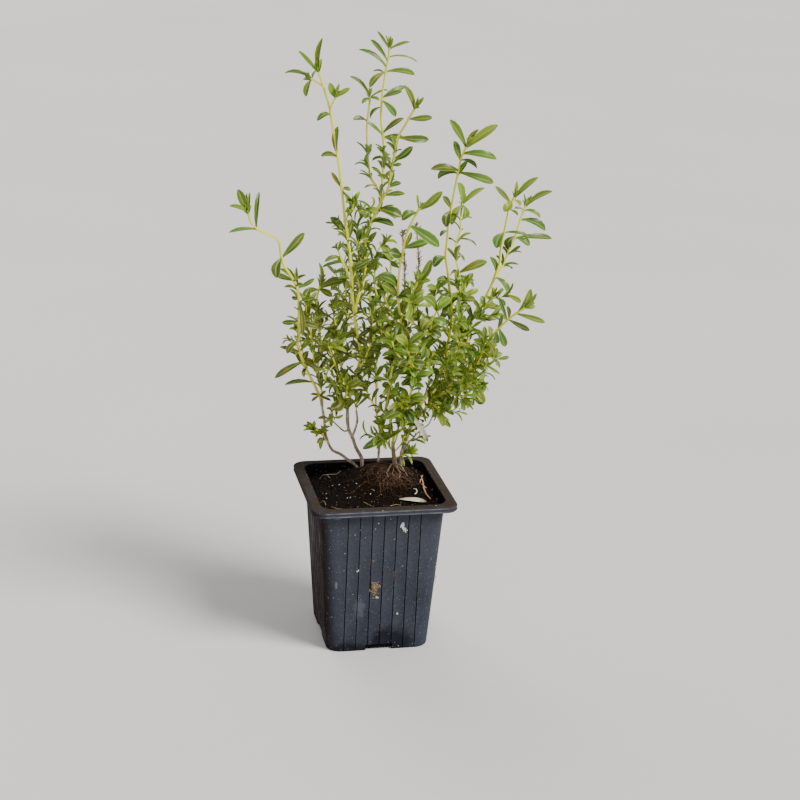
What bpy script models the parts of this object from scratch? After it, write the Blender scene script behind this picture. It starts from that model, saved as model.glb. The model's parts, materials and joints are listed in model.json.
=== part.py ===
"""Potted savory: a young savory plant of many leafy shoots in a square nursery pot.

Lengths are millimetres until a mesh is made, which turns them into metres. The pot's axis is Z,
its foot stands on z = 0 and its front face looks along -Y.
"""

import math
import random
from collections import namedtuple

import bmesh
import bpy
from mathutils import Matrix, Vector, noise
from mathutils.bvhtree import BVHTree

MM = 0.001
GAP = 0.3

# Pot, after the common 9 x 9 x 10 cm nursery pot
POT_HEIGHT = 99.3
RIM_HALF = 44.6
RIM_INNER_HALF = 39.3
RIM_CORNER = 8.0
LIP_TALL = 3.9
BEAD_OUT = 0.4
BODY_TOP_HALF = 38.6
BODY_FOOT_HALF = 32.3
BODY_CORNER = 9.0
WALL = 1.0
GROOVE_PITCH = 7.5
GROOVES_A_SIDE = 3
GROOVE_DEEP = 0.4
NOTCH_WIDE = 17.0
NOTCH_TALL = 4.0
NOTCH_DEEP = 9.0
SLOT_SIZE = (4.0, 2.4)

# Soil, heaped round the stems behind the pot's middle
SOIL_EDGE = 92.6
HEAP_TALL = 12.5
HEAP_AT = Vector((8.0, 18.0))
HEAP_SPREAD = Vector((17.0, 13.0))
CLOD_TALL = 0.9
CLOD_WIDE = 5.0
HOLE_DEEP = 12.0
LEAF_FLOOR = 105.5

# Blades
BLADE_THICK = 0.7
ROOT_WIDE = 0.8
BIG_LEAF = Vector((3.4, 12.0))
ROOT_SINK = 1.0
LIGHT_FROM = Vector((0.0, -1.0, 0.3))
LEAN_CHOSEN = 0.8
LEAN_FINE = 0.3
PHASE_ZERO = Vector((1.0, 0.2, 0.1))
CHOSEN_NEAR = 3.0

# Loose and dead pieces
WITHERED_TIP = (32, -7, 128)
WITHERED_START = 1.7
WITHERED_WIDE = 3.6
FALLEN_WIDE = 2.4
FALLEN_LIFT = 0.9

Form = namedtuple("Form", "arch fold widest")
YOUNG = Form(arch=12, fold=40, widest=0.45)
FLAT = Form(arch=18, fold=14, widest=0.60)
ARCHED = Form(arch=50, fold=18, widest=0.58)
CURLED = Form(arch=100, fold=20, widest=0.55)
NARROW = Form(arch=35, fold=30, widest=0.50)

Leaf = namedtuple("Leaf", "base tip up width form")
Stem = namedtuple("Stem", "node parent radii route leaves fill sides")

# Leaves that follow a rule: pairs of leaves, each pair turned from the last. A fill runs between
# two fractions of its stem's length.
Fill = namedtuple("Fill", "spacing length width angle form")
FINE = Fill(spacing=10.0, length=(9, 14), width=(1.6, 2.2), angle=(30, 62), form=NARROW)
OPEN = Fill(spacing=16.0, length=(9, 14), width=(1.8, 2.8), angle=(40, 70), form=NARROW)
BROAD = Fill(spacing=10.0, length=(8, 13), width=(3.4, 5.0), angle=(42, 78), form=ARCHED)
HUSKS = Fill(spacing=18.0, length=(3.5, 5), width=(1.4, 2.0), angle=(25, 45), form=YOUNG)

STEMS = {}


def stem(name, radii, route, parent=None, node=None, leaves=(), fill=(), sides=4):
    """Write down one stem: its radii and route, and its leaves as (place, tip, width, form)."""
    points = [Vector(point) for point in route]
    STEMS[name] = Stem(node or name, parent, radii, points, leaves, fill, sides)


def list_woody_stems():
    stem("wood_left", (1.5, 1.3), sides=6,
         route=[(-3, 25, 106), (-7, 24, 114), (-10, 22, 122), (-13, 21, 129), (-14, 20, 138),
                (-14, 19, 147)])
    stem("wood_left_spur", (1.1, 0.8), parent="wood_left", node="wood_left", sides=6,
         route=[(-10, 22, 123), (-9, 20, 128), (-8, 18, 135), (-9, 17, 142)])
    stem("wood_left_twig", (0.8, 0.5), parent="wood_left", node="wood_left", sides=6,
         route=[(-13, 21, 128), (-15, 24, 126), (-19, 26, 129), (-23, 27, 133)])
    stem("wood_creeping", (1.3, 1.0), sides=6,
         route=[(-11, 31, 104), (-16, 31, 108), (-21, 30, 111), (-24, 29, 116), (-26, 28, 122),
                (-27, 27, 127), (-28, 25, 135), (-30, 23, 144), (-31, 22, 149)])
    stem("wood_thin", (1.1, 0.9), sides=6,
         route=[(8, 26, 107), (8, 25, 115), (8, 24, 123), (8, 22, 129), (8, 18, 137),
                (9, 14, 143)])
    stem("wood_clump", (2.2, 1.4), sides=6,
         route=[(17, 16, 104), (15, 14, 114), (14, 12, 122)])
    stem("root_left", (0.6, 0.4), parent="wood_clump", node="wood_clump",
         route=[(16, 15, 107), (13, 11, 105), (10, 7, 103)])
    stem("root_front", (0.6, 0.4), parent="wood_clump", node="wood_clump",
         route=[(16, 15, 107), (18, 10, 103), (20, 6, 101)])
    stem("root_right", (0.6, 0.4), parent="wood_clump", node="wood_clump",
         route=[(16, 15, 107), (22, 13, 102), (25, 11, 101)])
    stem("wood_right", (1.6, 1.4), sides=6,
         route=[(23, 28, 104), (24, 26, 113), (27, 23, 124), (29, 20, 134), (31, 17, 144)])
    stem("twig_right", (0.9, 0.5), sides=6,
         route=[(22, 20, 108), (24, 17, 117), (27, 14, 123), (32, 11, 130), (36, 9, 134),
                (38, 8, 140)])


def list_left_shoots():
    stem("shoot_left_tall", (1.15, 0.5), parent="wood_left",
         route=[(-14, 19, 148), (-12, 15, 159), (-10, 12, 169), (-9, 8, 182), (-11, 5, 191),
                (-13, 3, 199), (-15, 1, 210), (-17, -1, 222), (-18, -3, 234), (-20, -6, 249),
                (-23, -9, 264), (-25, -11, 276), (-27, -13, 290), (-30, -16, 307),
                (-33, -17, 322), (-36, -20, 336), (-40, -23, 348), (-44, -25, 359)],
         leaves=[(16.9, (-42, -25, 378), 3.6, YOUNG), (17, (-56, -28, 371), 2.8, YOUNG),
                 (14.8, (-44, -23, 331), 3, CURLED), (13.2, (-31, -18, 327), 4, FLAT),
                 (13.1, (-40, -14, 309), 3.4, ARCHED), (12, (-33, -11, 299), 2.6, FLAT),
                 (12, (-22, -15, 289), 2.8, FLAT), (11.9, (-22, -14, 280), 2, ARCHED),
                 (9.8, (-33, -10, 272), 4.4, FLAT), (8.6, (-24, -1, 254), 5, FLAT),
                 (8.3, (-8, -7, 245), 4, ARCHED), (4.4, (-5, 1, 199), 3, ARCHED),
                 (4.4, (-19, 1, 195), 3, ARCHED), (4.4, (-7, -2, 191), 4, ARCHED),
                 (4.4, (-16, 6, 200), 2.4, YOUNG), (3.2, (1, 5, 186), 2.6, ARCHED)],
         fill=[(OPEN, 0.08, 0.55)])
    stem("left_tall_tip_twig", (0.6, 0.4), parent="shoot_left_tall", node="shoot_left_tall",
         route=[(-42, -23, 350), (-45, -23, 353), (-48, -23, 355)],
         leaves=[(2, (-63, -23, 358), 3.4, ARCHED), (1.9, (-51, -25, 345), 3.2, FLAT),
                 (1.8, (-43, -19, 359), 2, YOUNG)])
    stem("left_tall_upper_twig", (0.6, 0.4), parent="shoot_left_tall", node="shoot_left_tall",
         route=[(-36, -20, 335), (-36, -22, 339), (-34, -26, 345)],
         leaves=[(2, (-38, -26, 353), 4, FLAT), (2, (-26, -26, 350), 2.8, FLAT)])
    stem("left_tall_front_twig", (0.6, 0.4), parent="shoot_left_tall", node="shoot_left_tall",
         route=[(-23, -9, 266), (-23, -13, 274), (-21, -16, 279), (-21, -18, 282)],
         leaves=[(1.8, (-19, -17, 285), 3, YOUNG), (1.4, (-21, -14, 282), 2.4, YOUNG)],
         fill=[(FINE, 0.4, 1.0)])
    stem("left_tall_lower_twig", (0.6, 0.4), parent="shoot_left_tall", node="shoot_left_tall",
         route=[(-18, -3, 229), (-21, -8, 237), (-26, -13, 247), (-29, -17, 254)],
         leaves=[(2.9, (-34, -20, 256), 1.6, NARROW), (3, (-26, -20, 260), 1.6, NARROW),
                 (2.2, (-37, -17, 247), 2.8, ARCHED), (1.8, (-37, -10, 242), 2, ARCHED),
                 (1.1, (-30, -8, 238), 2, ARCHED)])
    stem("shoot_left_arching", (1.0, 0.5), parent="wood_creeping",
         route=[(-31, 22, 150), (-36, 18, 160), (-42, 13, 172), (-46, 8, 182), (-49, 3, 191),
                (-49, -1, 201), (-50, -7, 212), (-51, -11, 224), (-53, -15, 232),
                (-58, -19, 241), (-62, -23, 247), (-64, -25, 254), (-66, -29, 263),
                (-72, -33, 268), (-78, -36, 271), (-83, -38, 276), (-85, -41, 282)],
         leaves=[(16, (-91, -41, 296), 4.2, FLAT), (16, (-86, -42, 294), 2, YOUNG),
                 (16, (-84, -39, 294), 1.8, YOUNG), (14.3, (-78, -34, 293), 2.6, CURLED),
                 (16, (-96, -43, 287), 2.6, CURLED), (14.1, (-96, -40, 271), 2.4, ARCHED),
                 (10.7, (-50, -23, 266), 4.2, ARCHED), (10.7, (-67, -29, 241), 5.2, FLAT),
                 (7.8, (-60, -11, 243), 3.2, FLAT), (7.9, (-49, -21, 233), 3, CURLED),
                 (7.8, (-42, -14, 236), 2.4, ARCHED), (6.9, (-55, -10, 224), 2.4, FLAT),
                 (6.9, (-49, -15, 201), 3, FLAT), (5.6, (-60, -5, 207), 3, FLAT),
                 (5.6, (-38, -7, 204), 3.6, ARCHED), (4.2, (-56, 0, 186), 3.4, ARCHED),
                 (2.5, (-62, 8, 168), 4, ARCHED), (2.5, (-35, 7, 174), 2.4, ARCHED),
                 (1.1, (-55, 15, 161), 3, ARCHED), (0.2, (-38, 19, 153), 1.8, ARCHED),
                 (0.2, (-28, 19, 155), 1.8, ARCHED), (0.2, (-25, 17, 149), 1.8, CURLED),
                 (0.2, (-37, 20, 148), 1.8, ARCHED)],
         fill=[(OPEN, 0.15, 0.62)])
    stem("shoot_left_upright", (0.8, 0.5), parent="wood_creeping",
         route=[(-29, 24, 141), (-29, 27, 150), (-31, 28, 157), (-32, 29, 165), (-31, 30, 174),
                (-30, 30, 180), (-31, 31, 191), (-32, 31, 198), (-33, 32, 205), (-33, 32, 211),
                (-31, 32, 219)],
         leaves=[(9.9, (-32, 31, 234), 4.2, YOUNG), (9.7, (-17, 29, 223), 5, ARCHED),
                 (9.7, (-24, 28, 213), 4.4, ARCHED), (9.6, (-43, 27, 214), 4, ARCHED),
                 (8.1, (-39, 30, 207), 3, FLAT), (8.5, (-37, 34, 211), 2, ARCHED),
                 (7.9, (-30, 27, 196), 4.4, ARCHED)],
         fill=[(FINE, 0.12, 0.82)])
    stem("shoot_left_fine", (0.7, 0.45), parent="shoot_left_upright",
         route=[(-32, 28, 163), (-36, 17, 174), (-38, 12, 184), (-40, 7, 193), (-42, 2, 205),
                (-45, -1, 213), (-45, -3, 218)],
         fill=[(FINE, 0.2, 1.0)])
    stem("shoot_left_low", (0.6, 0.4), parent="wood_creeping",
         route=[(-25, 28, 117), (-28, 21, 122), (-31, 15, 129), (-36, 10, 133)],
         fill=[(FINE, 0.3, 1.0)])
    stem("shoot_left_front", (0.7, 0.45), parent="wood_creeping",
         route=[(-27, 26, 131), (-26, 19, 137), (-25, 14, 143), (-23, 7, 149), (-20, 1, 155),
                (-19, -2, 160), (-19, -4, 166)],
         leaves=[(5.9, (-22, -5, 171), 3, FLAT), (5.9, (-11, -6, 169), 5, ARCHED),
                 (5.8, (-6, -3, 164), 3, CURLED), (5.5, (-15, -6, 160), 3, ARCHED),
                 (4, (-29, -4, 151), 6.4, FLAT), (4, (-17, -2, 156), 2, ARCHED),
                 (1.2, (-23, 15, 139), 1.6, ARCHED), (0.9, (-33, 19, 137), 2, ARCHED)],
         fill=[(FINE, 0.3, 0.9)])
    stem("shoot_left_inner", (0.8, 0.45), parent="wood_left",
         route=[(-14, 20, 142), (-17, 27, 150), (-16, 33, 163), (-16, 36, 171), (-14, 40, 179),
                (-13, 42, 187), (-11, 44, 197), (-12, 46, 205), (-12, 47, 211), (-13, 48, 217)],
         leaves=[(6.8, (-21, 41, 201), 5.4, ARCHED), (6.5, (-24, 42, 184), 5, FLAT),
                 (7.7, (-21, 45, 208), 2, ARCHED), (8.8, (-22, 45, 213), 4.2, ARCHED),
                 (3.9, (-28, 37, 176), 2.4, ARCHED), (2.9, (-29, 34, 168), 2.6, ARCHED)],
         fill=[(FINE, 0.1, 1.0)])
    stem("left_inner_twig", (0.5, 0.4), parent="shoot_left_inner", node="shoot_left_inner",
         route=[(-17, 32, 166), (-20, 25, 174), (-23, 19, 182), (-24, 13, 191)],
         fill=[(FINE, 0.2, 1.0)])
    stem("bud_left", (0.6, 0.4), parent="wood_left_spur",
         route=[(-9, 17, 142), (-9, 16, 150)],
         fill=[(FINE, 0.3, 1.0)])


def list_centre_shoots():
    stem("shoot_centre_tall", (1.1, 0.45), parent="shoot_left_tall",
         route=[(-14, 2, 212), (-12, 5, 219), (-8, 10, 229), (-8, 13, 241), (-6, 17, 250),
                (-3, 21, 259), (1, 24, 266), (4, 26, 272), (5, 28, 277), (6, 31, 287),
                (7, 34, 298), (7, 38, 310), (6, 42, 321), (7, 45, 334), (9, 48, 346),
                (11, 50, 355), (12, 52, 362)],
         leaves=[(16, (4, 51, 372), 2.2, YOUNG), (16, (13, 53, 369), 2, YOUNG),
                 (15.8, (24, 49, 366), 2.4, ARCHED), (15.2, (29, 49, 354), 2, CURLED),
                 (14.9, (0, 51, 367), 3, FLAT), (14.5, (-7, 52, 361), 4.2, ARCHED),
                 (14.2, (28, 50, 346), 3.8, ARCHED), (14.2, (-1, 45, 339), 4, FLAT),
                 (14.1, (2, 51, 348), 2, NARROW), (12.9, (22, 49, 339), 3.8, ARCHED),
                 (12.9, (19, 43, 337), 2.6, ARCHED), (12.8, (15, 41, 322), 4.2, ARCHED),
                 (12.5, (0, 45, 320), 3.2, ARCHED), (11.1, (-4, 36, 320), 3.4, FLAT),
                 (11.2, (19, 36, 322), 3.8, ARCHED), (11, (19, 37, 310), 3.4, ARCHED),
                 (11, (15, 42, 304), 3, ARCHED), (10, (2, 33, 305), 3.2, FLAT),
                 (10, (0, 36, 296), 2.2, ARCHED), (10, (11, 31, 297), 3, ARCHED),
                 (10, (11, 37, 300), 3, FLAT), (6.5, (16, 18, 265), 6.4, ARCHED),
                 (6.5, (-7, 20, 264), 5, FLAT), (5.3, (11, 16, 260), 4.2, ARCHED),
                 (3.7, (0, 14, 257), 3.6, FLAT), (5.9, (-11, 21, 275), 2, ARCHED),
                 (5.5, (-10, 25, 270), 2, ARCHED), (6.3, (14, 26, 262), 1.8, ARCHED)],
         fill=[(FINE, 0.06, 0.6)])
    stem("shoot_centre_back", (0.8, 0.5), parent="shoot_centre_tall",
         route=[(4, 29, 274), (3, 33, 280), (0, 37, 285), (-1, 41, 292), (-1, 46, 302),
                (-1, 50, 314), (1, 55, 325), (2, 58, 331)],
         leaves=[(6.9, (-11, 57, 344), 3.4, ARCHED), (6.9, (14, 60, 335), 2, CURLED),
                 (6.8, (-4, 52, 328), 3, ARCHED), (6.9, (7, 53, 330), 3, ARCHED),
                 (5.3, (-10, 49, 319), 3.4, FLAT), (2.9, (-7, 39, 296), 1.8, ARCHED),
                 (1.9, (-7, 38, 290), 1.8, ARCHED), (1.2, (-5, 32, 280), 1.8, ARCHED)],
         fill=[(FINE, 0.15, 0.9)])
    stem("shoot_centre_right", (0.8, 0.5), parent="shoot_centre_tall",
         route=[(4, 26, 272), (7, 19, 282), (7, 14, 290), (7, 8, 299), (7, 0, 310),
                (7, -7, 319), (9, -13, 326), (10, -18, 331), (12, -25, 338)],
         leaves=[(7.9, (5, -26, 352), 3.8, ARCHED), (8, (17, -26, 345), 2.4, YOUNG),
                 (7, (24, -19, 332), 3.6, ARCHED), (4.9, (25, -8, 317), 4.2, ARCHED),
                 (3.3, (18, 3, 311), 4.2, FLAT), (3.4, (9, 8, 309), 2.4, FLAT),
                 (3, (12, 5, 300), 2, ARCHED), (1.1, (15, 18, 286), 3, FLAT),
                 (0.6, (18, 20, 279), 3.4, FLAT), (2.5, (2, 9, 300), 2.4, ARCHED)],
         fill=[(FINE, 0.15, 0.6)])
    stem("shoot_centre_fine", (0.7, 0.45), parent="shoot_left_tall",
         route=[(-14, 1, 205), (-12, 9, 214), (-10, 15, 222), (-10, 20, 230), (-9, 24, 239),
                (-9, 27, 248), (-9, 30, 256), (-7, 31, 263)],
         fill=[(FINE, 0.12, 1.0)])
    stem("shoot_middle", (1.0, 0.5), parent="wood_thin",
         route=[(9, 13, 145), (9, 7, 158), (9, 2, 170), (10, -2, 180), (12, -5, 188),
                (12, -8, 196), (11, -12, 208), (8, -17, 223), (7, -21, 239), (8, -25, 254),
                (9, -29, 266), (12, -33, 276), (15, -36, 283)],
         leaves=[(11.7, (27, -39, 293), 4.6, FLAT), (11.4, (4, -37, 276), 4.8, ARCHED),
                 (10.5, (27, -37, 260), 6.4, ARCHED), (10.3, (7, -28, 264), 1.6, NARROW),
                 (9.2, (23, -28, 261), 4.6, ARCHED), (9.2, (13, -24, 266), 2.4, FLAT),
                 (8.8, (-1, -28, 255), 6, FLAT), (8.3, (2, -19, 247), 3, FLAT),
                 (7.4, (-5, -21, 239), 6, ARCHED), (7.1, (-4, -25, 235), 6.2, FLAT),
                 (7.1, (16, -14, 228), 4, FLAT), (5.9, (5, -19, 195), 6.2, ARCHED),
                 (5.9, (15, -16, 197), 5.6, ARCHED)],
         fill=[(FINE, 0.05, 0.28), (BROAD, 0.25, 0.5)])
    stem("middle_twig", (0.6, 0.4), parent="shoot_middle", node="shoot_middle",
         route=[(11, -13, 209), (12, -17, 215), (14, -22, 223), (15, -27, 231), (16, -32, 238)],
         leaves=[(3.7, (23, -35, 252), 4.4, FLAT), (3.5, (17, -27, 245), 3, FLAT),
                 (2.8, (20, -29, 235), 3, ARCHED)],
         fill=[(BROAD, 0.2, 0.9)])
    stem("shoot_front", (0.9, 0.5), parent="wood_clump",
         route=[(15, 12, 123), (15, 11, 127), (18, 8, 131), (20, 5, 136), (20, 2, 143),
                (18, -2, 149), (19, -6, 156), (20, -10, 164), (19, -14, 171), (18, -19, 177),
                (17, -24, 183), (14, -29, 191), (11, -33, 198)],
         leaves=[(5.1, (11, -6, 158), 5, FLAT), (5.1, (28, -6, 157), 4.8, ARCHED),
                 (4.9, (3, -9, 145), 5.6, ARCHED), (4.8, (22, -7, 141), 5.4, ARCHED),
                 (2, (-7, 4, 121), 5, ARCHED), (12, (20, -37, 208), 4.4, FLAT),
                 (12, (3, -36, 206), 5, FLAT), (11.8, (17, -39, 198), 5.4, ARCHED),
                 (10.6, (23, -30, 186), 5.2, ARCHED), (8.1, (12, -18, 169), 3, ARCHED)],
         fill=[(BROAD, 0.12, 0.95)])
    stem("shoot_back", (0.8, 0.5), parent="wood_thin",
         route=[(8, 24, 124), (6, 30, 140), (7, 34, 153), (7, 37, 166), (10, 40, 179),
                (11, 42, 190), (14, 44, 201), (15, 45, 211), (16, 46, 222), (17, 47, 231)],
         leaves=[(8.8, (8, 45, 243), 6, FLAT), (8.7, (5, 48, 232), 4.6, ARCHED),
                 (8.5, (24, 49, 229), 4, ARCHED), (7.9, (8, 44, 217), 4, ARCHED),
                 (7, (6, 42, 205), 4.6, ARCHED), (6.9, (5, 47, 209), 3, ARCHED),
                 (6, (6, 42, 197), 3, ARCHED), (6, (19, 45, 205), 3.4, ARCHED),
                 (4.9, (15, 37, 185), 4.4, ARCHED), (4.2, (20, 33, 174), 6, ARCHED),
                 (4.2, (4, 41, 183), 2.4, ARCHED)],
         fill=[(OPEN, 0.3, 0.9)])
    stem("tuft_base", (0.6, 0.4), parent="wood_clump",
         route=[(16, 15, 110), (20, 11, 113), (23, 9, 115)],
         fill=[(FINE, 0.6, 1.0)])


def list_right_shoots():
    stem("shoot_right_tall", (1.1, 0.5), parent="wood_right",
         route=[(31, 16, 146), (34, 15, 151), (37, 12, 157), (41, 10, 164), (43, 9, 171),
                (45, 7, 180), (45, 6, 187), (46, 4, 195), (46, 2, 205), (45, 1, 215),
                (43, -1, 225), (41, -3, 236), (39, -4, 246), (39, -6, 256), (39, -8, 268),
                (40, -10, 279), (41, -12, 290), (42, -14, 299), (43, -16, 308), (45, -19, 315)],
         leaves=[(19, (34, -20, 331), 4.2, FLAT), (19, (52, -18, 325), 3, YOUNG),
                 (18.8, (63, -20, 328), 5.2, FLAT), (18.3, (63, -21, 308), 5.2, CURLED),
                 (17.8, (38, -16, 318), 4.6, FLAT), (17.8, (52, -19, 302), 3.2, CURLED),
                 (17.1, (25, -15, 301), 5.2, ARCHED), (16.9, (31, -9, 294), 4, CURLED),
                 (17, (64, -13, 292), 4.4, ARCHED), (16.7, (47, -16, 306), 3.4, FLAT),
                 (14.7, (34, -11, 284), 3.6, FLAT), (14.6, (36, -14, 266), 5, ARCHED),
                 (13.5, (34, -8, 259), 2.4, ARCHED), (11.9, (31, -7, 240), 5.4, ARCHED),
                 (10.1, (34, -4, 231), 5, ARCHED), (9.7, (41, -7, 218), 3.6, ARCHED),
                 (9.3, (60, 1, 217), 4, ARCHED), (8.9, (50, -3, 221), 4.6, FLAT),
                 (8.4, (38, -2, 205), 4, ARCHED), (6.8, (52, 0, 191), 4, ARCHED)],
         fill=[(BROAD, 0.08, 0.42)])
    stem("shoot_right_side", (0.8, 0.5), parent="shoot_right_tall",
         route=[(46, 3, 213), (51, 10, 220), (53, 15, 224), (54, 20, 228), (53, 24, 234),
                (53, 29, 239), (55, 34, 245), (58, 38, 252), (59, 43, 259), (61, 48, 266)],
         leaves=[(9, (57, 46, 280), 5.8, FLAT), (9, (75, 48, 276), 5, FLAT),
                 (8.9, (61, 44, 257), 6, ARCHED), (8.8, (53, 41, 254), 6, ARCHED),
                 (6.2, (68, 34, 242), 2.2, CURLED), (5.2, (59, 28, 234), 2.6, ARCHED),
                 (3.1, (71, 18, 236), 5, ARCHED), (2.9, (55, 15, 219), 5, ARCHED),
                 (2.9, (64, 21, 219), 4, ARCHED), (3, (49, 24, 226), 4, ARCHED)],
         fill=[(BROAD, 0.45, 0.9)])
    stem("shoot_right_inner", (0.7, 0.45), parent="shoot_right_tall",
         route=[(43, 8, 172), (36, 0, 181), (31, -5, 188), (29, -9, 195), (29, -14, 203),
                (29, -18, 210), (31, -22, 217)],
         leaves=[(6, (39, -22, 225), 5, FLAT), (6, (21, -26, 227), 5.4, FLAT),
                 (5, (22, -21, 205), 5.4, ARCHED), (5.1, (37, -21, 208), 5, ARCHED),
                 (4, (35, -18, 199), 5, ARCHED), (4, (22, -11, 207), 4, FLAT)],
         fill=[(BROAD, 0.15, 0.8)])
    stem("shoot_right_outer", (1.1, 0.5), parent="wood_right",
         route=[(30, 19, 138), (36, 24, 145), (41, 26, 149), (48, 28, 153), (54, 29, 156),
                (58, 30, 161), (61, 31, 165), (63, 31, 172), (64, 31, 180), (65, 31, 186),
                (67, 32, 196), (70, 32, 202), (74, 32, 208), (77, 32, 214), (80, 33, 221),
                (83, 33, 231), (84, 35, 239), (86, 36, 251), (88, 38, 260), (89, 38, 266),
                (92, 38, 272)],
         leaves=[(19.8, (106, 36, 285), 4.6, FLAT), (19.9, (93, 39, 282), 2.4, YOUNG),
                 (19.3, (79, 38, 279), 4.2, FLAT), (19.4, (84, 33, 264), 5.2, ARCHED),
                 (19.7, (97, 41, 266), 3, ARCHED), (18.7, (95, 39, 260), 2, ARCHED),
                 (16.9, (80, 32, 241), 5.6, FLAT), (16.9, (102, 35, 247), 2.8, CURLED),
                 (14.3, (77, 34, 235), 4, FLAT), (14.1, (88, 29, 210), 5, CURLED),
                 (11.2, (86, 31, 201), 3.6, ARCHED), (10, (79, 29, 195), 4, ARCHED),
                 (10, (61, 30, 206), 5, FLAT), (10.1, (74, 35, 204), 3, FLAT),
                 (9.5, (59, 28, 187), 5, ARCHED), (9.4, (74, 33, 183), 4, ARCHED),
                 (7.9, (69, 27, 175), 3.6, ARCHED), (7.2, (56, 26, 170), 5.4, ARCHED)],
         fill=[(BROAD, 0.08, 0.5)])
    stem("shoot_right_outer_side", (0.8, 0.5), parent="shoot_right_outer",
         route=[(80, 32, 219), (86, 40, 225), (90, 45, 230), (94, 49, 236), (98, 54, 241),
                (101, 58, 248), (104, 62, 254), (107, 65, 260)],
         leaves=[(7, (124, 63, 270), 4.6, FLAT), (7, (109, 66, 266), 2, YOUNG),
                 (6.5, (116, 60, 253), 3.4, CURLED), (6.5, (99, 63, 259), 2, ARCHED),
                 (5.7, (120, 60, 245), 5.4, ARCHED), (4.3, (94, 51, 234), 6, ARCHED),
                 (4.2, (108, 53, 237), 4.5, ARCHED), (4.1, (124, 58, 240), 4.6, ARCHED)],
         fill=[(BROAD, 0.2, 0.5)])
    stem("shoot_right_leaning", (1.0, 0.5), parent="wood_right",
         route=[(28, 21, 130), (33, 13, 141), (37, 5, 152), (42, 0, 157), (47, -5, 164),
                (51, -11, 171), (54, -16, 179), (57, -20, 185), (59, -26, 192), (63, -31, 202),
                (65, -37, 209), (69, -42, 216), (72, -47, 221), (77, -51, 226)],
         leaves=[(12.2, (81, -46, 236), 4.2, FLAT), (13, (83, -52, 235), 3, YOUNG),
                 (12.9, (82, -54, 227), 3, ARCHED), (12.1, (90, -49, 216), 3.4, ARCHED),
                 (11.1, (82, -45, 210), 3, ARCHED), (11, (63, -41, 230), 2.4, FLAT),
                 (11.1, (69, -39, 224), 2.4, FLAT), (10.1, (69, -40, 199), 4, ARCHED),
                 (9.8, (65, -33, 199), 4, ARCHED), (8.7, (65, -32, 188), 4, ARCHED),
                 (8.5, (56, -27, 201), 1.6, ARCHED), (9.9, (66, -40, 219), 2.2, FLAT)],
         fill=[(BROAD, 0.1, 0.7)])
    stem("shoot_right_low_back", (0.6, 0.4), parent="shoot_right_outer",
         route=[(58, 30, 161), (62, 22, 161), (63, 14, 161), (66, 8, 160)],
         leaves=[(3, (70, 5, 148), 4, ARCHED), (2.8, (72, 11, 154), 4, ARCHED),
                 (2.6, (67, 6, 148), 3.4, ARCHED), (2, (73, 17, 158), 3, ARCHED)],
         fill=[(BROAD, 0.4, 1.0)])
    stem("shoot_right_low_front", (0.6, 0.4), parent="shoot_right_leaning",
         route=[(44, -3, 160), (46, -9, 160), (48, -14, 161), (50, -19, 160)],
         leaves=[(3, (54, -22, 158), 2.8, ARCHED), (2, (46, -17, 153), 2.6, ARCHED),
                 (2.7, (52, -16, 151), 2.4, ARCHED), (1.2, (43, -13, 154), 2.4, ARCHED)],
         fill=[(FINE, 0.4, 1.0)])
    stem("shoot_right_low", (0.6, 0.4), parent="shoot_right_leaning",
         route=[(35, 8, 149), (35, 0, 151), (37, -6, 150), (39, -10, 150)],
         leaves=[(1, (47, -4, 136), 3.4, ARCHED), (3, (40, -13, 140), 4, ARCHED),
                 (3, (45, -12, 153), 3.4, ARCHED), (2, (33, -10, 145), 2.4, ARCHED)],
         fill=[(FINE, 0.4, 1.0)])
    stem("tuft_right", (0.5, 0.4), parent="twig_right",
         route=[(38, 8, 140), (38, 7, 147)],
         fill=[(FINE, 0.2, 1.0)])


def list_dry_spikes():
    stem("dry_spike_left", (0.55, 0.4), parent="wood_thin",
         route=[(8, 18, 137), (13, 25, 143), (16, 32, 153), (21, 40, 174), (25, 46, 195),
                (26, 49, 214), (26, 51, 228), (24, 52, 247)],
         fill=[(HUSKS, 0.5, 1.0)])
    stem("dry_spike_right", (0.55, 0.4), parent="wood_right",
         route=[(29, 20, 134), (31, 26, 142), (34, 31, 150), (35, 38, 170), (34, 41, 190),
                (33, 44, 211), (34, 46, 229), (32, 48, 252)],
         fill=[(HUSKS, 0.5, 1.0)])


def make_material(name, color, roughness):
    material = bpy.data.materials.new(name)
    material.use_nodes = True
    shader = material.node_tree.nodes["Principled BSDF"]
    shader.inputs["Base Color"].default_value = (*color, 1.0)
    shader.inputs["Roughness"].default_value = roughness
    shader.inputs["Metallic"].default_value = 0.0
    material.diffuse_color = (*color, 1.0)
    return material


def make_object(name, points, faces, material=None):
    """A mesh object from points in millimetres, facing out."""
    mesh = bpy.data.meshes.new(name)
    mesh.from_pydata([point * MM for point in points], [], faces)
    body = bmesh.new()
    body.from_mesh(mesh)
    bmesh.ops.recalc_face_normals(body, faces=body.faces)
    body.to_mesh(mesh)
    body.free()
    if material:
        mesh.materials.append(material)
    made = bpy.data.objects.new(name, mesh)
    bpy.context.scene.collection.objects.link(made)
    return made


def join_solids(target, tools, operation, solver):
    """Add the tools to the target, or cut them from it, and remove them."""
    group = bpy.data.collections.new(target.name + "_tools")
    bpy.context.scene.collection.children.link(group)
    for tool in tools:
        bpy.context.scene.collection.objects.unlink(tool)
        group.objects.link(tool)
    boolean = target.modifiers.new("boolean", "BOOLEAN")
    boolean.operation = operation
    boolean.solver = solver
    boolean.operand_type = "COLLECTION"
    boolean.collection = group
    with bpy.context.temp_override(object=target, active_object=target):
        bpy.ops.object.modifier_apply(modifier=boolean.name)
    for tool in tools:
        bpy.data.objects.remove(tool)
    bpy.data.collections.remove(group)


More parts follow.
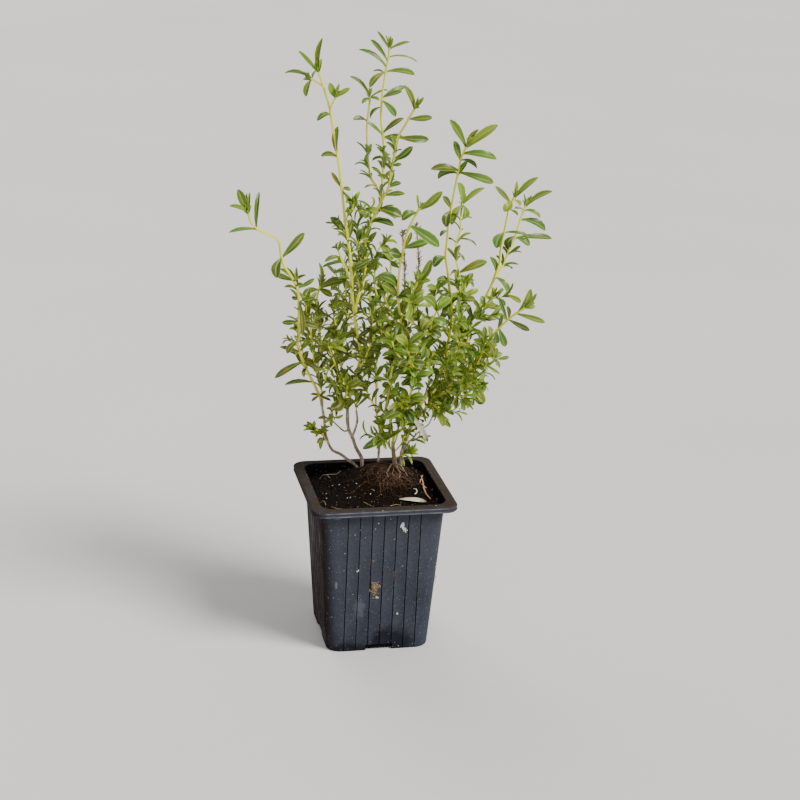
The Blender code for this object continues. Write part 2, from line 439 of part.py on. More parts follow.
def keep_largest_island(target):
    """Drop scraps that a union leaves loose."""
    body = bmesh.new()
    body.from_mesh(target.data)
    unseen = set(body.verts)
    islands = []
    while unseen:
        island = []
        edge_of_search = [unseen.pop()]
        while edge_of_search:
            point = edge_of_search.pop()
            island.append(point)
            for edge in point.link_edges:
                other = edge.other_vert(point)
                if other in unseen:
                    unseen.remove(other)
                    edge_of_search.append(other)
        islands.append(island)
    islands.sort(key=len)
    for island in islands[:-1]:
        bmesh.ops.delete(body, geom=island, context="VERTS")
    body.to_mesh(target.data)
    body.free()


def square_ring(half, corner, height, arc_steps=3, side_steps=1):
    """Points round a square with rounded corners, anticlockwise seen from above."""
    points = []
    for quarter in range(4):
        turn = Matrix.Rotation(math.radians(90 * quarter), 3, "Z")
        for step in range(arc_steps + 1):
            angle = math.radians(90 * step / arc_steps)
            across = half - corner + corner * math.cos(angle)
            along = half - corner + corner * math.sin(angle)
            points.append(turn @ Vector((across, along, height)))
        for step in range(1, side_steps):
            along = (half - corner) * (1 - 2 * step / side_steps)
            points.append(turn @ Vector((along, half, height)))
    return points


def loft(rings, top_point=None):
    """Points and faces of a closed solid through rings of equal count, from foot to top."""
    count = len(rings[0])
    points = [point for ring in rings for point in ring]
    faces = [list(range(count))[::-1]]
    for lower in range(len(rings) - 1):
        for near in range(count):
            far = (near + 1) % count
            base = lower * count
            faces.append([base + near, base + far, base + count + far, base + count + near])
    last = (len(rings) - 1) * count
    if top_point is None:
        faces.append(list(range(last, last + count)))
        return points, faces
    points.append(top_point)
    for near in range(count):
        faces.append([last + near, last + (near + 1) % count, len(points) - 1])
    return points, faces


def box_solid(name, low, high):
    """A box between two corners."""
    rings = [[Vector((x, y, z)) for x, y in ((low[0], low[1]), (high[0], low[1]),
                                             (high[0], high[1]), (low[0], high[1]))]
             for z in (low[2], high[2])]
    return make_object(name, *loft(rings))


def four_sides(make):
    """Call make(turn) once for each side of the pot, the front side first."""
    return [made for side in range(4)
            for made in make(Matrix.Rotation(math.radians(90 * side), 4, "Z"))]


def turned_box(turn, low, high):
    solid = box_solid("box", low, high)
    solid.data.transform(turn)
    return solid


def body_half(height):
    """Half the width of the pot's body, outside, at a height."""
    share = height / (POT_HEIGHT - LIP_TALL)
    return BODY_FOOT_HALF + (BODY_TOP_HALF - BODY_FOOT_HALF) * share


def notch_boxes(turn, spare, roof):
    """The block over a drainage notch: the notch itself, or grown by spare all round."""
    half = NOTCH_WIDE / 2 + spare
    back = -BODY_FOOT_HALF + NOTCH_DEEP + spare
    front = -BODY_FOOT_HALF - 5 if roof == NOTCH_TALL else -BODY_FOOT_HALF + 0.4
    return [turned_box(turn, (-half, front, -1 if roof == NOTCH_TALL else 0.4), (half, back, roof))]


def slot_boxes(turn):
    """Two drain slots through the roof of a notch."""
    middle = -BODY_FOOT_HALF + 5.5
    return [turned_box(turn,
                       (side * NOTCH_WIDE / 4 - SLOT_SIZE[0] / 2, middle - SLOT_SIZE[1] / 2, 2),
                       (side * NOTCH_WIDE / 4 + SLOT_SIZE[0] / 2, middle + SLOT_SIZE[1] / 2, 7))
            for side in (-1, 1)]


def groove_prisms(turn):
    """The fine upright grooves of one side, as three-sided prisms that follow its slope."""
    prisms = []
    spare = 0.5
    low, high = -1.0, POT_HEIGHT - LIP_TALL + 1
    for number in range(-GROOVES_A_SIDE, GROOVES_A_SIDE + 1):
        x = number * GROOVE_PITCH
        wide = GROOVE_DEEP + spare
        rings = []
        for height in (low, high):
            face = -body_half(height)
            rings.append([Vector((x - wide, face - spare, height)),
                          Vector((x + wide, face - spare, height)),
                          Vector((x, face + GROOVE_DEEP, height))])
        prism = make_object("groove", *loft(rings))
        prism.data.transform(turn)
        prisms.append(prism)
    return prisms


def make_pot(material):
    lip_foot = POT_HEIGHT - LIP_TALL
    under = POT_HEIGHT - WALL
    outline = [
        (BODY_FOOT_HALF - 0.6, BODY_CORNER, 0.0),
        (BODY_FOOT_HALF, BODY_CORNER, 0.8),
        (body_half(lip_foot), BODY_CORNER, lip_foot),
        (RIM_INNER_HALF + WALL, BODY_CORNER, under),
        (RIM_HALF - WALL, RIM_CORNER - WALL, under),
        (RIM_HALF - WALL, RIM_CORNER - WALL, lip_foot),
        (RIM_HALF - 0.2, RIM_CORNER, lip_foot),
        (RIM_HALF + BEAD_OUT, RIM_CORNER, lip_foot + 0.7),
        (RIM_HALF, RIM_CORNER, lip_foot + 1.5),
        (RIM_HALF, RIM_CORNER, lip_foot + 2.3),
        (RIM_HALF + BEAD_OUT, RIM_CORNER, lip_foot + 2.9),
        (RIM_HALF - 0.4, RIM_CORNER, POT_HEIGHT),
        (RIM_INNER_HALF, RIM_CORNER, POT_HEIGHT),
        (RIM_INNER_HALF - 0.9, BODY_CORNER - WALL, POT_HEIGHT - 0.9),
        (body_half(lip_foot) - WALL, BODY_CORNER - WALL, lip_foot + 0.4),
        (body_half(WALL) - WALL, BODY_CORNER - WALL, WALL),
    ]
    pot = make_object("pot", *loft([square_ring(*ring) for ring in outline]), material)
    join_solids(pot, four_sides(lambda turn: notch_boxes(turn, WALL, NOTCH_TALL + WALL)),
                "UNION", "EXACT")
    join_solids(pot, four_sides(lambda turn: notch_boxes(turn, 0.0, NOTCH_TALL)),
                "DIFFERENCE", "EXACT")
    join_solids(pot, four_sides(slot_boxes) + four_sides(groove_prisms), "DIFFERENCE", "EXACT")
    return pot


def soil_height(x, y):
    """The soil's surface: a heap behind the pot's middle, with clods on it."""
    across = (x - HEAP_AT.x) / HEAP_SPREAD.x
    along = (y - HEAP_AT.y) / HEAP_SPREAD.y
    heap = HEAP_TALL * math.exp(-0.5 * (across * across + along * along))
    clods = CLOD_TALL * noise.noise(Vector((x / CLOD_WIDE, y / CLOD_WIDE, 0.0)))
    return SOIL_EDGE + heap + clods


def stem_feet():
    """Each stem that stands in the soil, with its foot's place."""
    for name, each in STEMS.items():
        if each.parent is None:
            yield name, each.route[0].x, each.route[0].y


def make_soil(material):
    floor = WALL + GAP
    edge = SOIL_EDGE - 1.5
    corner = BODY_CORNER - WALL
    rings = [square_ring(body_half(height) - WALL - GAP, corner, height, side_steps=4)
             for height in (floor, edge)]
    middle = Vector((*HEAP_AT, 0.0))
    for share in (1.0, 0.87, 0.73, 0.59, 0.45, 0.31, 0.17):
        ring = []
        for point in rings[1]:
            at = middle.lerp(point, share)
            ring.append(Vector((at.x, at.y, soil_height(at.x, at.y))))
        rings.append(ring)
    rings.pop(1)
    top = Vector((*HEAP_AT, soil_height(*HEAP_AT)))
    soil = make_object("soil", *loft(rings, top), material)
    cuts = four_sides(lambda turn: notch_boxes(turn, WALL + GAP, NOTCH_TALL + WALL + GAP))
    for name, x, y in stem_feet():
        bore = (STEMS[name].radii[0] + GAP) / math.cos(math.pi / 8)
        foot = soil_height(x, y) - HOLE_DEEP - GAP
        rings = [[Vector((x + bore * math.cos(math.tau * step / 8),
                          y + bore * math.sin(math.tau * step / 8), height))
                  for step in range(8)] for height in (foot, foot + HOLE_DEEP + 8)]
        cuts.append(make_object("hole", *loft(rings)))
    join_solids(soil, cuts, "DIFFERENCE", "EXACT")
    return soil


def tube(route, radii, sides, grow=0.0):
    """Points and faces of a tapered stem that runs straight between its route's points."""
    lengths = [0.0]
    for start, end in zip(route, route[1:]):
        lengths.append(lengths[-1] + (end - start).length)
    across = PHASE_ZERO
    rings = []
    for place, point in enumerate(route):
        before = route[max(place - 1, 0)]
        after = route[min(place + 1, len(route) - 1)]
        heading = (after - before).normalized()
        across = (across - heading * across.dot(heading)).normalized()
        beside = heading.cross(across)
        share = lengths[place] / lengths[-1]
        radius = radii[0] + (radii[1] - radii[0]) * share + grow
        end_grow = grow * heading * ((place == len(route) - 1) - (place == 0))
        rings.append([point + end_grow + across * radius * math.cos(math.tau * step / sides)
                      + beside * radius * math.sin(math.tau * step / sides)
                      for step in range(sides)])
    return loft(rings)


def place_on(route, u):
    step = min(int(u), len(route) - 2)
    return route[step].lerp(route[step + 1], u - step)


def heading_on(route, u):
    step = min(int(u), len(route) - 2)
    return (route[step + 1] - route[step]).normalized()


def radius_on(each, u):
    share = u / (len(each.route) - 1)
    return each.radii[0] + (each.radii[1] - each.radii[0]) * share


def nearest_on(route, point):
    """The place on a route nearest to a point, as a count of its points passed."""
    best = None
    for step in range(len(route) - 1):
        run = route[step + 1] - route[step]
        share = (point - route[step]).dot(run) / run.length_squared
        share = min(max(share, 0.0), 1.0)
        away = (route[step] + run * share - point).length
        if best is None or away < best[0]:
            best = (away, step + share)
    return best[1]


def seat_stem(each):
    """Start a branch in its parent, or just clear of a parent that is another node."""
    if each.parent is None:
        foot = each.route[0].copy()
        foot.z = soil_height(foot.x, foot.y) - HOLE_DEEP
        return each._replace(route=[foot] + each.route)
    parent = STEMS[each.parent]
    u = nearest_on(parent.route, each.route[0])
    fork = place_on(parent.route, u)
    route = [fork] + each.route[1:]
    if parent.node == each.node:
        return each._replace(route=route)
    turned = heading_on(parent.route, u).angle((route[1] - fork).normalized())
    if u > len(parent.route) - 1.05:
        start = GAP + each.radii[0] * math.sin(turned)
    else:
        clear = radius_on(parent, u) + GAP + each.radii[0] * abs(math.cos(turned))
        start = clear / math.sin(turned)
    while (route[1] - fork).length < start + 1.0:
        route.pop(1)
    route[0] = fork + (route[1] - fork).normalized() * start
    return each._replace(route=route)


def half_width(share, width, widest):
    """Half a blade's width at a share of its length from the root."""
    if share < widest:
        spread = math.sin(0.5 * math.pi * share / widest)
    else:
        spread = math.cos(0.5 * math.pi * (share - widest) / (1 - widest)) ** 0.8
    return max(ROOT_WIDE, width * spread) / 2


def blade_frames(leaf):
    """Points along a blade's midrib, each with its upper side and its share of the length."""
    chord = leaf.tip - leaf.base
    along = chord.normalized()
    up = (leaf.up - along * leaf.up.dot(along)).normalized()
    side = along.cross(up)
    arch = math.radians(leaf.form.arch)
    bend = chord.length / (2 * math.sin(arch / 2))
    big = leaf.width > BIG_LEAF.x and chord.length > BIG_LEAF.y
    shares = (0.0, 0.35, 0.72, 1.0) if big else (0.0, 0.5, 1.0)
    frames = []
    for share in shares:
        angle = arch * (share - 0.5)
        centre = (leaf.base + along * bend * (math.sin(arch / 2) + math.sin(angle))
                  + up * bend * (math.cos(angle) - math.cos(arch / 2)))
        frames.append((share, centre, up * math.cos(angle) + along * math.sin(angle)))
    return frames, side, along


def blade(leaf):
    """Points and faces of a folded blade: flat between its edges, with a keel below."""
    frames, side, _ = blade_frames(leaf)
    fold = math.radians(leaf.form.fold)
    points = []
    for share, centre, normal in frames[:-1]:
        half = half_width(share, leaf.width, leaf.form.widest)
        rise = half * math.sin(fold)
        reach = half * math.cos(fold)
        edge = centre + normal * rise / 2
        points += [edge - side * reach, edge + side * reach,
                   edge - normal * max(BLADE_THICK, rise)]
    points.append(frames[-1][1])
    faces = [[0, 2, 1]]
    for station in range(len(frames) - 2):
        left, right, keel = (3 * station + corner for corner in range(3))
        faces += [[left, right, right + 3, left + 3], [right, keel, keel + 3, right + 3],
                  [keel, left, left + 3, keel + 3]]
    left, right, keel = (3 * (len(frames) - 2) + corner for corner in range(3))
    tip = len(points) - 1
    faces += [[left, right, tip], [right, keel, tip], [keel, left, tip]]
    return points, faces


def blade_room(leaf):
    """The space that a blade needs: a box round each station, GAP clear of the blade."""
    frames, side, along = blade_frames(leaf)
    rings = []
    for share, centre, normal in frames:
        half = half_width(share, leaf.width, leaf.form.widest) + GAP
        if share == 1.0:
            centre = centre + along * GAP
            half = GAP
        low = centre - normal * (BLADE_THICK * 0.8 + GAP)
        high = centre + normal * (BLADE_THICK * 0.5 + GAP)
        rings.append([low - side * half, low + side * half, high + side * half,
                      high - side * half])
    return loft(rings)


def bounds_of(points):
    low = Vector([min(point[axis] for point in points) for axis in range(3)])
    high = Vector([max(point[axis] for point in points) for axis in range(3)])
    return low, high


def apart(first, second):
    return any(first[0][axis] > second[1][axis] or second[0][axis] > first[1][axis]
               for axis in range(3))


class Room:
    """What is placed so far, to keep each node clear of the others."""

    def __init__(self):
        self.placed = []

    def add(self, node, points, faces):
        self.placed.append((node, bounds_of(points), BVHTree.FromPolygons(points, faces)))

    def is_clear(self, node, points, faces):
        bounds = bounds_of(points)
        if bounds[0].z < LEAF_FLOOR:
            return False
        tree = None
        for other, other_bounds, other_tree in self.placed:
            if other == node or apart(bounds, other_bounds):
                continue
            tree = tree or BVHTree.FromPolygons(points, faces)
            if tree.overlap(other_tree):
                return False
        return True


def upper_side(base, tip, heading, lean):
    """A leaf's upper side: towards the stem's tip, and partly towards the light."""
    along = (tip - base).normalized()
    radial = (along - heading * along.dot(heading)).normalized()
    angle = heading.angle(along)
    inward = heading * math.sin(angle) - radial * math.cos(angle)
    return (inward + LIGHT_FROM * lean).normalized()


def place_leaf(room, node, leaf, heading):
    """Bend a leaf clear of the other nodes: turned about its stem, tilted or shortened."""
    for shorter in (1.0, 0.85, 0.7):
        for tilt in (0, -15, 15):
            for turn in (0, 12, -12, 24, -24, 38, -38, 55, -55):
                reach = (leaf.tip - leaf.base) * shorter
                swing = heading.cross(reach).normalized()
                bend = (Matrix.Rotation(math.radians(turn), 3, heading)
                        @ Matrix.Rotation(math.radians(tilt), 3, swing))
                tried = leaf._replace(tip=leaf.base + bend @ reach, up=bend @ leaf.up)
                if room.is_clear(node, *blade_room(tried)):
                    room.add(node, *blade(tried))
                    return tried
    return None


def chosen_leaves(name, seated):
    """The leaves that are placed one by one, with their stem's heading."""
    for u, tip, width, form in STEMS[name].leaves:
        route = seated.route
        u = nearest_on(route, place_on(STEMS[name].route, u))
        sunk = len(route) - 1 - ROOT_SINK / (route[-1] - route[-2]).length
        base = place_on(route, min(u, sunk))
        heading = heading_on(route, u)
        tip = Vector(tip)
        lean = LEAN_FINE if form is NARROW else LEAN_CHOSEN
        yield Leaf(base, tip, upper_side(base, tip, heading, lean), width, form), heading


def places_along(route):
    """Each route point's distance from the route's start."""
    distances = [0.0]
    for start, end in zip(route, route[1:]):
        distances.append(distances[-1] + (end - start).length)
    return distances


def leaf_by_rule(route, distances, distance, phase, angle, length, width, form):
    """A leaf at a distance along its stem: phase is round the stem and angle away from it."""
    distance = min(distance, distances[-1] - ROOT_SINK)
    step = max(index for index in range(len(route) - 1) if distances[index] <= distance)
    heading = (route[step + 1] - route[step]).normalized()
    base = route[step] + heading * (distance - distances[step])
    across = (PHASE_ZERO - heading * heading.dot(PHASE_ZERO)).normalized()
    radial = Matrix.Rotation(math.radians(phase), 3, heading) @ across
    away = math.radians(angle)
    tip = base + (heading * math.cos(away) + radial * math.sin(away)) * length
    return Leaf(base, tip, upper_side(base, tip, heading, LEAN_FINE), width, form), heading


def rule_leaves(name, seated):
    """The leaves that fill a stem between its chosen ones."""
    draw = random.Random(name)
    route = seated.route
    distances = places_along(route)
    original = STEMS[name].route
    taken = []
    for leaf in STEMS[name].leaves:
        u = nearest_on(route, place_on(original, leaf[0]))
        step = min(int(u), len(route) - 2)
        taken.append(distances[step] + (distances[step + 1] - distances[step]) * (u - step))
    for fill, start, end in seated.fill:
        distance = start * distances[-1]
        turn = draw.uniform(0, 90)
        while distance < end * distances[-1] - 1:
            if all(abs(distance - other) > CHOSEN_NEAR for other in taken):
                for side in range(2):
                    phase = turn + 180 * side + draw.uniform(-14, 14)
                    yield leaf_by_rule(route, distances, distance, phase,
                                       draw.uniform(*fill.angle), draw.uniform(*fill.length),
                                       draw.uniform(*fill.width), fill.form)
            distance += fill.spacing * draw.uniform(0.85, 1.15)
            turn += 90 + draw.uniform(-12, 12)
        if end == 1.0:
            for side in range(2):
                yield leaf_by_rule(route, distances, distances[-1], turn + 180 * side,
                                   draw.uniform(14, 34), draw.uniform(*fill.length) * 0.8,
                                   sum(fill.width) / 2, YOUNG)


def make_plant(room, wood, green, dry):
    """Grow every stem and its leaves, then fuse each node into one body."""
    seated = {name: seat_stem(each) for name, each in STEMS.items()}
    solids = {}
    for name, each in seated.items():
        solid = tube(each.route, each.radii, each.sides)
        solids.setdefault(each.node, []).append(solid)
        room.add(each.node, *solid)
    for list_leaves in (chosen_leaves, rule_leaves):
        for name, each in seated.items():
            for leaf, heading in list_leaves(name, each):
                placed = place_leaf(room, each.node, leaf, heading)
                if placed:
                    solids[each.node].append(blade(placed))
    for node, parts in solids.items():
        kind = wood if STEMS[node].parent is None else dry if node.startswith("dry") else green
        fuse(node, parts, kind)


def fuse(name, parts, material):
    """Make one solid of overlapping ones, the first of which carries the rest."""
    body = make_object(name, *parts[0], material)
    if parts[1:]:
        join_solids(body, [make_object("part", *part) for part in parts[1:]], "UNION", "MANIFOLD")
        keep_largest_island(body)


def on_soil(x, y, lift):
    return Vector((x, y, soil_height(x, y) + lift))


def make_withered_leaf(room, material):
    """The dead leaf that hangs from the front shoot."""
    joint = STEMS["shoot_front"].route[5]
    tip = Vector(WITHERED_TIP)
    base = joint + (tip - joint).normalized() * WITHERED_START
    solid = blade(Leaf(base, tip, Vector((0.5, -1.0, 0.2)), WITHERED_WIDE, ARCHED))
    room.add("withered_leaf", *solid)
    make_object("withered_leaf", *solid, material)


def make_fallen_leaf(material):
    base = on_soil(13.5, -14.4, FALLEN_LIFT)
    tip = on_soil(29.8, -21.1, FALLEN_LIFT)
    solid = blade(Leaf(base, tip, Vector((0.0, 0.0, 1.0)), FALLEN_WIDE, FLAT))
    make_object("fallen_leaf", *solid, material)


def make_fallen_twig(material):
    """A scrap of twig on the soil, forked at its near end."""
    lift = FALLEN_LIFT + 0.6
    trunk = [on_soil(33.1, 11.8, lift), on_soil(32.8, 5.0, lift), on_soil(32.5, -0.2, lift),
             on_soil(31.5, -8.0, lift)]
    left = [trunk[-1], on_soil(29.0, -13.0, lift + 0.4)]
    right = [trunk[-1], on_soil(33.5, -12.5, lift + 1.4)]
    fuse("fallen_twig", [tube(trunk, (0.5, 0.6), 6), tube(left, (0.5, 0.4), 6),
                         tube(right, (0.5, 0.4), 6)], material)


def main():
    for old in list(bpy.data.objects):
        bpy.data.objects.remove(old)
    list_woody_stems()
    list_left_shoots()
    list_centre_shoots()
    list_right_shoots()
    list_dry_spikes()
    plastic = make_material("pot_plastic", (0.045, 0.053, 0.080), 0.42)
    earth = make_material("soil", (0.014, 0.009, 0.006), 0.95)
    wood = make_material("wood", (0.16, 0.095, 0.055), 0.8)
    green = make_material("leaf", (0.12, 0.25, 0.035), 0.5)
    dry = make_material("dry_stalk", (0.13, 0.085, 0.05), 0.85)
    pale = make_material("pale_leaf", (0.55, 0.50, 0.34), 0.7)
    make_pot(plastic)
    make_soil(earth)
    room = Room()
    make_withered_leaf(room, pale)
    make_plant(room, wood, green, dry)
    make_fallen_leaf(pale)
    make_fallen_twig(dry)


main()
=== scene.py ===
import json
import math
import random
from collections import namedtuple

import bmesh
import bpy
from bpy.props import FloatProperty, FloatVectorProperty, IntProperty, PointerProperty
from mathutils import Matrix, Vector, noise

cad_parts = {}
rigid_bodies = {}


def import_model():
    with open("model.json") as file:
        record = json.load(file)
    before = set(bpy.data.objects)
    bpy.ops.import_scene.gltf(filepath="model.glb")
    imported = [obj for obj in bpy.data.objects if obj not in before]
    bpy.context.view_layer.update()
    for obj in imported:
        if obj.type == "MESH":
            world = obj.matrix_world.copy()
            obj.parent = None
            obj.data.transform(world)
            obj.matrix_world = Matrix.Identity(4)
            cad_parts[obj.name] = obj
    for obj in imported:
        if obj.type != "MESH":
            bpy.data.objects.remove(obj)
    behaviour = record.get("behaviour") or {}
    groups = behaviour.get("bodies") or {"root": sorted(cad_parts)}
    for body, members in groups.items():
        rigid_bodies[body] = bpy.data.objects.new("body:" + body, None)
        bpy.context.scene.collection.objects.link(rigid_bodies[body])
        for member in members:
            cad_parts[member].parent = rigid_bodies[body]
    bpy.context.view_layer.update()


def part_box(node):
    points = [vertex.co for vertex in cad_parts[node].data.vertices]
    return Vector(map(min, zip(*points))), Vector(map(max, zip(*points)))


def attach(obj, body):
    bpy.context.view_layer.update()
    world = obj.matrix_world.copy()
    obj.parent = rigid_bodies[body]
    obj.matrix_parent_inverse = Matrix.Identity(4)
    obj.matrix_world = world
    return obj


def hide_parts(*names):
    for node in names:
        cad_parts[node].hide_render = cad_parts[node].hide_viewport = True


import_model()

# A young savory plant in a square nursery pot. Sizes are metres, except in the tables of stems,
# leaves and litter, which are in millimetres. The pot's axis is Z, its foot stands on z = 0 and
# its front face looks along -Y.

bl_info = {
    "name": "Potted Savory",
    "version": (1, 0, 0),
    "blender": (4, 5, 0),
    "location": "3D View > Sidebar > Savory",
    "description": "Makes a young savory plant of many leafy shoots in a square nursery pot",
    "category": "Add Mesh",
}

MM = 0.001
POT_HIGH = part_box("pot")[1]

# Pot
RIM_CORNER = 8.0 * MM
BODY_CORNER = 9.0 * MM
CORNER_STEPS = 8
LIP_TALL = 3.9 * MM
WALL = 1.0 * MM
BEAD_OUT = 0.4 * MM
BEAD_TALL = 0.65 * MM
BEAD_PLACES = (0.7 * MM, 2.9 * MM)
BEAD_STEPS = 6
EDGE_ROUND = 0.9 * MM
EDGE_STEPS = 4
GROOVES_A_SIDE = 3
GROOVE_HALF = 0.42 * MM
GROOVE_SHAPE = ((-1.35, 0.0), (-1.0, -0.12), (-0.35, 1.0), (0.35, 1.0), (1.0, -0.12), (1.35, 0.0))
NOTCH_WIDE = 17.0 * MM
NOTCH_TALL = 4.0 * MM
NOTCH_DEEP = 9.0 * MM
SLOT_SIZE = Vector((4.0, 2.4)) * MM
SLOT_BACK = 5.5 * MM

# Soil
GAP = 0.3 * MM
HEAP_AT = Vector((8.0, 18.0)) * MM
HEAP_SPREAD = Vector((17.0, 13.0)) * MM
CLOD_WIDE = 5.0 * MM
CLOD_TALL = 0.9 * MM
CRUMB_WIDE = 1.6 * MM
CRUMB_TALL = 0.45 * MM
SOIL_RINGS = 44
PATCH_HALF = 36.8 * MM
PATCH_STEPS = 60
BARE_PATCH = 9.0 * MM
BIT_PATTERNS = 5
FIBRE_THIN = 0.035
ROOTLETS = 130

# Stems
FOOT_DEEP = 6.0 * MM
STEM_STEPS = 5
FOOT_FULL = 0.80
TIP_FULL = 1.15
WOOD_FULL = 0.80
WOOD_ROUGH = 0.10
KNOT_LONG = 0.9 * MM
KNOT_THICK = 0.28
TWIG_RADII = (0.55, 0.4)

# Leaves: their shape, their lean towards the light, their age and the room that they need
NOMINAL_SLIMNESS = 0.28
LEAF_ROWS = (0.0, 0.14, 0.32, 0.52, 0.70, 0.86, 0.96)
LEAF_ACROSS = (-1.0, -0.52, 0.0, 0.52, 1.0)
LEAF_LOOP = len(LEAF_ACROSS) + 1
LEAF_DOME = 0.10
LEAF_SWAY = 0.35
LEAF_TWIST = 26
PATTERNS_A_FORM = 3
ROOT_SHARE = 0.24
BLADE_FULL = 1.22
NARROW_FULL = 1.5
ROOT_SINK = 1.0 * MM
LIGHT_FROM = Vector((0.0, -1.0, 0.3))
LEAN_CHOSEN = 1.4
LEAN_FINE = 0.5
PHASE_ZERO = Vector((1.0, 0.2, 0.1))
AGE_REACH = 9.0 * MM
FILL_AGE = 0.65
CHOSEN_AGE = 0.5
OLIVE = 0.70
OLIVE_BELOW = 0.23
CHOSEN_NEAR = 3.0 * MM
LEAF_FLOOR = 105.5 * MM
MAIN_RADIUS = 0.95 * MM
BARE_DEEP = (2, 4, 6, 8)
BARE_WIDE = 0.9 * MM
CELL = 3.0 * MM
ROOM_GAP = 0.35 * MM
ROOM_SHARE = 0.75

Form = namedtuple("Form", "arch fold widest")
YOUNG = Form(arch=18, fold=36, widest=0.55)
FLAT = Form(arch=26, fold=22, widest=0.64)
ARCHED = Form(arch=55, fold=24, widest=0.62)
CURLED = Form(arch=100, fold=24, widest=0.60)
NARROW = Form(arch=45, fold=28, widest=0.58)
FORMS = (YOUNG, FLAT, ARCHED, CURLED, NARROW)

# Leaves that follow a rule, in millimetres: pairs of leaves, each pair turned from the last. A
# fill runs between two fractions of its stem's length. Between those pairs grow closer ones, and
# a share of them has a short side sprig instead.
Fill = namedtuple("Fill", "spacing length width angle form between sprigs close forms short")
FINE = Fill(spacing=10.0, length=(9, 14), width=(1.6, 2.2), angle=(30, 62), form=NARROW, between=4.6,
            sprigs=0.16, close=(2.3, 3.7), forms=(NARROW, NARROW, ARCHED, CURLED), short=(0.65, 1.05))
OPEN = Fill(spacing=16.0, length=(9, 14), width=(1.8, 2.8), angle=(40, 70), form=NARROW, between=8.0,
            sprigs=0.20, close=(1.8, 3.0), forms=(NARROW, ARCHED), short=(0.65, 1.05))
BROAD = Fill(spacing=10.0, length=(8, 13), width=(3.4, 5.0), angle=(42, 78), form=ARCHED, between=4.4,
             sprigs=0.16, close=(3.0, 4.8), forms=(ARCHED, FLAT, FLAT, YOUNG), short=(0.7, 1.05))
HUSKS = Fill(spacing=18.0, length=(3.5, 5), width=(1.4, 2.0), angle=(25, 45), form=YOUNG, between=1.3,
             sprigs=0.0, close=(0.7, 1.2), forms=(YOUNG, CURLED), short=(0.65, 1.05))
SPARSE = FINE._replace(between=8.0, sprigs=0.15)
CURLY = FINE._replace(between=3.4, sprigs=0.3, close=(1.7, 2.8), short=(0.45, 0.8),
                      forms=(CURLED, NARROW, CURLED, ARCHED))
TUFT = CURLY._replace(between=1.8, sprigs=0.0)
AIRY = BROAD._replace(between=9.0, sprigs=0.0)
BUSHY = BROAD._replace(between=3.2, close=(1.9, 3.0), short=(0.5, 0.85),
                       forms=(CURLED, NARROW, ARCHED))

# Each row of a table is a stem: its name, the stem that it grows from, its radii, its route, its
# leaves as (place on the route, x, y, z of the tip, width, form), and its fills.
WOODY_STEMS = (
    ("wood_left", None, (1.5, 1.3),
     [(-3, 25, 106), (-7, 24, 114), (-10, 22, 122), (-13, 21, 129), (-14, 20, 138), (-14, 19, 147)]),
    ("wood_left_spur", "wood_left", (1.1, 0.8),
     [(-10, 22, 123), (-9, 20, 128), (-8, 18, 135), (-9, 17, 142)]),
    ("wood_left_twig", "wood_left", (0.8, 0.5),
     [(-13, 21, 128), (-15, 24, 126), (-19, 26, 129), (-23, 27, 133)]),
    ("wood_creeping", None, (1.3, 1.0),
     [(-5, 29, 99), (-11, 31, 104), (-16, 31, 108), (-21, 30, 111), (-24, 29, 116), (-26, 28, 122),
      (-27, 27, 127), (-28, 25, 135), (-30, 23, 144), (-31, 22, 149)]),
    ("wood_thin", None, (1.1, 0.9),
     [(8, 26, 107), (8, 25, 115), (8, 24, 123), (8, 22, 129), (8, 18, 137), (9, 14, 143)]),
    ("wood_clump", None, (2.2, 1.4),
     [(17, 16, 104), (15, 14, 114), (14, 12, 122)]),
    ("root_left", "wood_clump", (0.6, 0.4),
     [(16, 15, 107), (13, 12, 106), (11, 10, 103)]),
    ("root_front", "wood_clump", (0.6, 0.4),
     [(16, 15, 107), (17, 12, 105), (19, 9, 102)]),
    ("root_right", "wood_clump", (0.6, 0.4),
     [(16, 15, 107), (20, 13, 105), (22, 12, 102)]),
    ("wood_right", None, (1.6, 1.4),
     [(23, 28, 104), (24, 26, 113), (27, 23, 124), (29, 20, 134), (31, 17, 144)]),
    ("twig_right", None, (0.9, 0.5),
     [(22, 20, 108), (24, 17, 117), (27, 14, 123), (32, 11, 130), (36, 9, 134), (38, 8, 140)]),
)

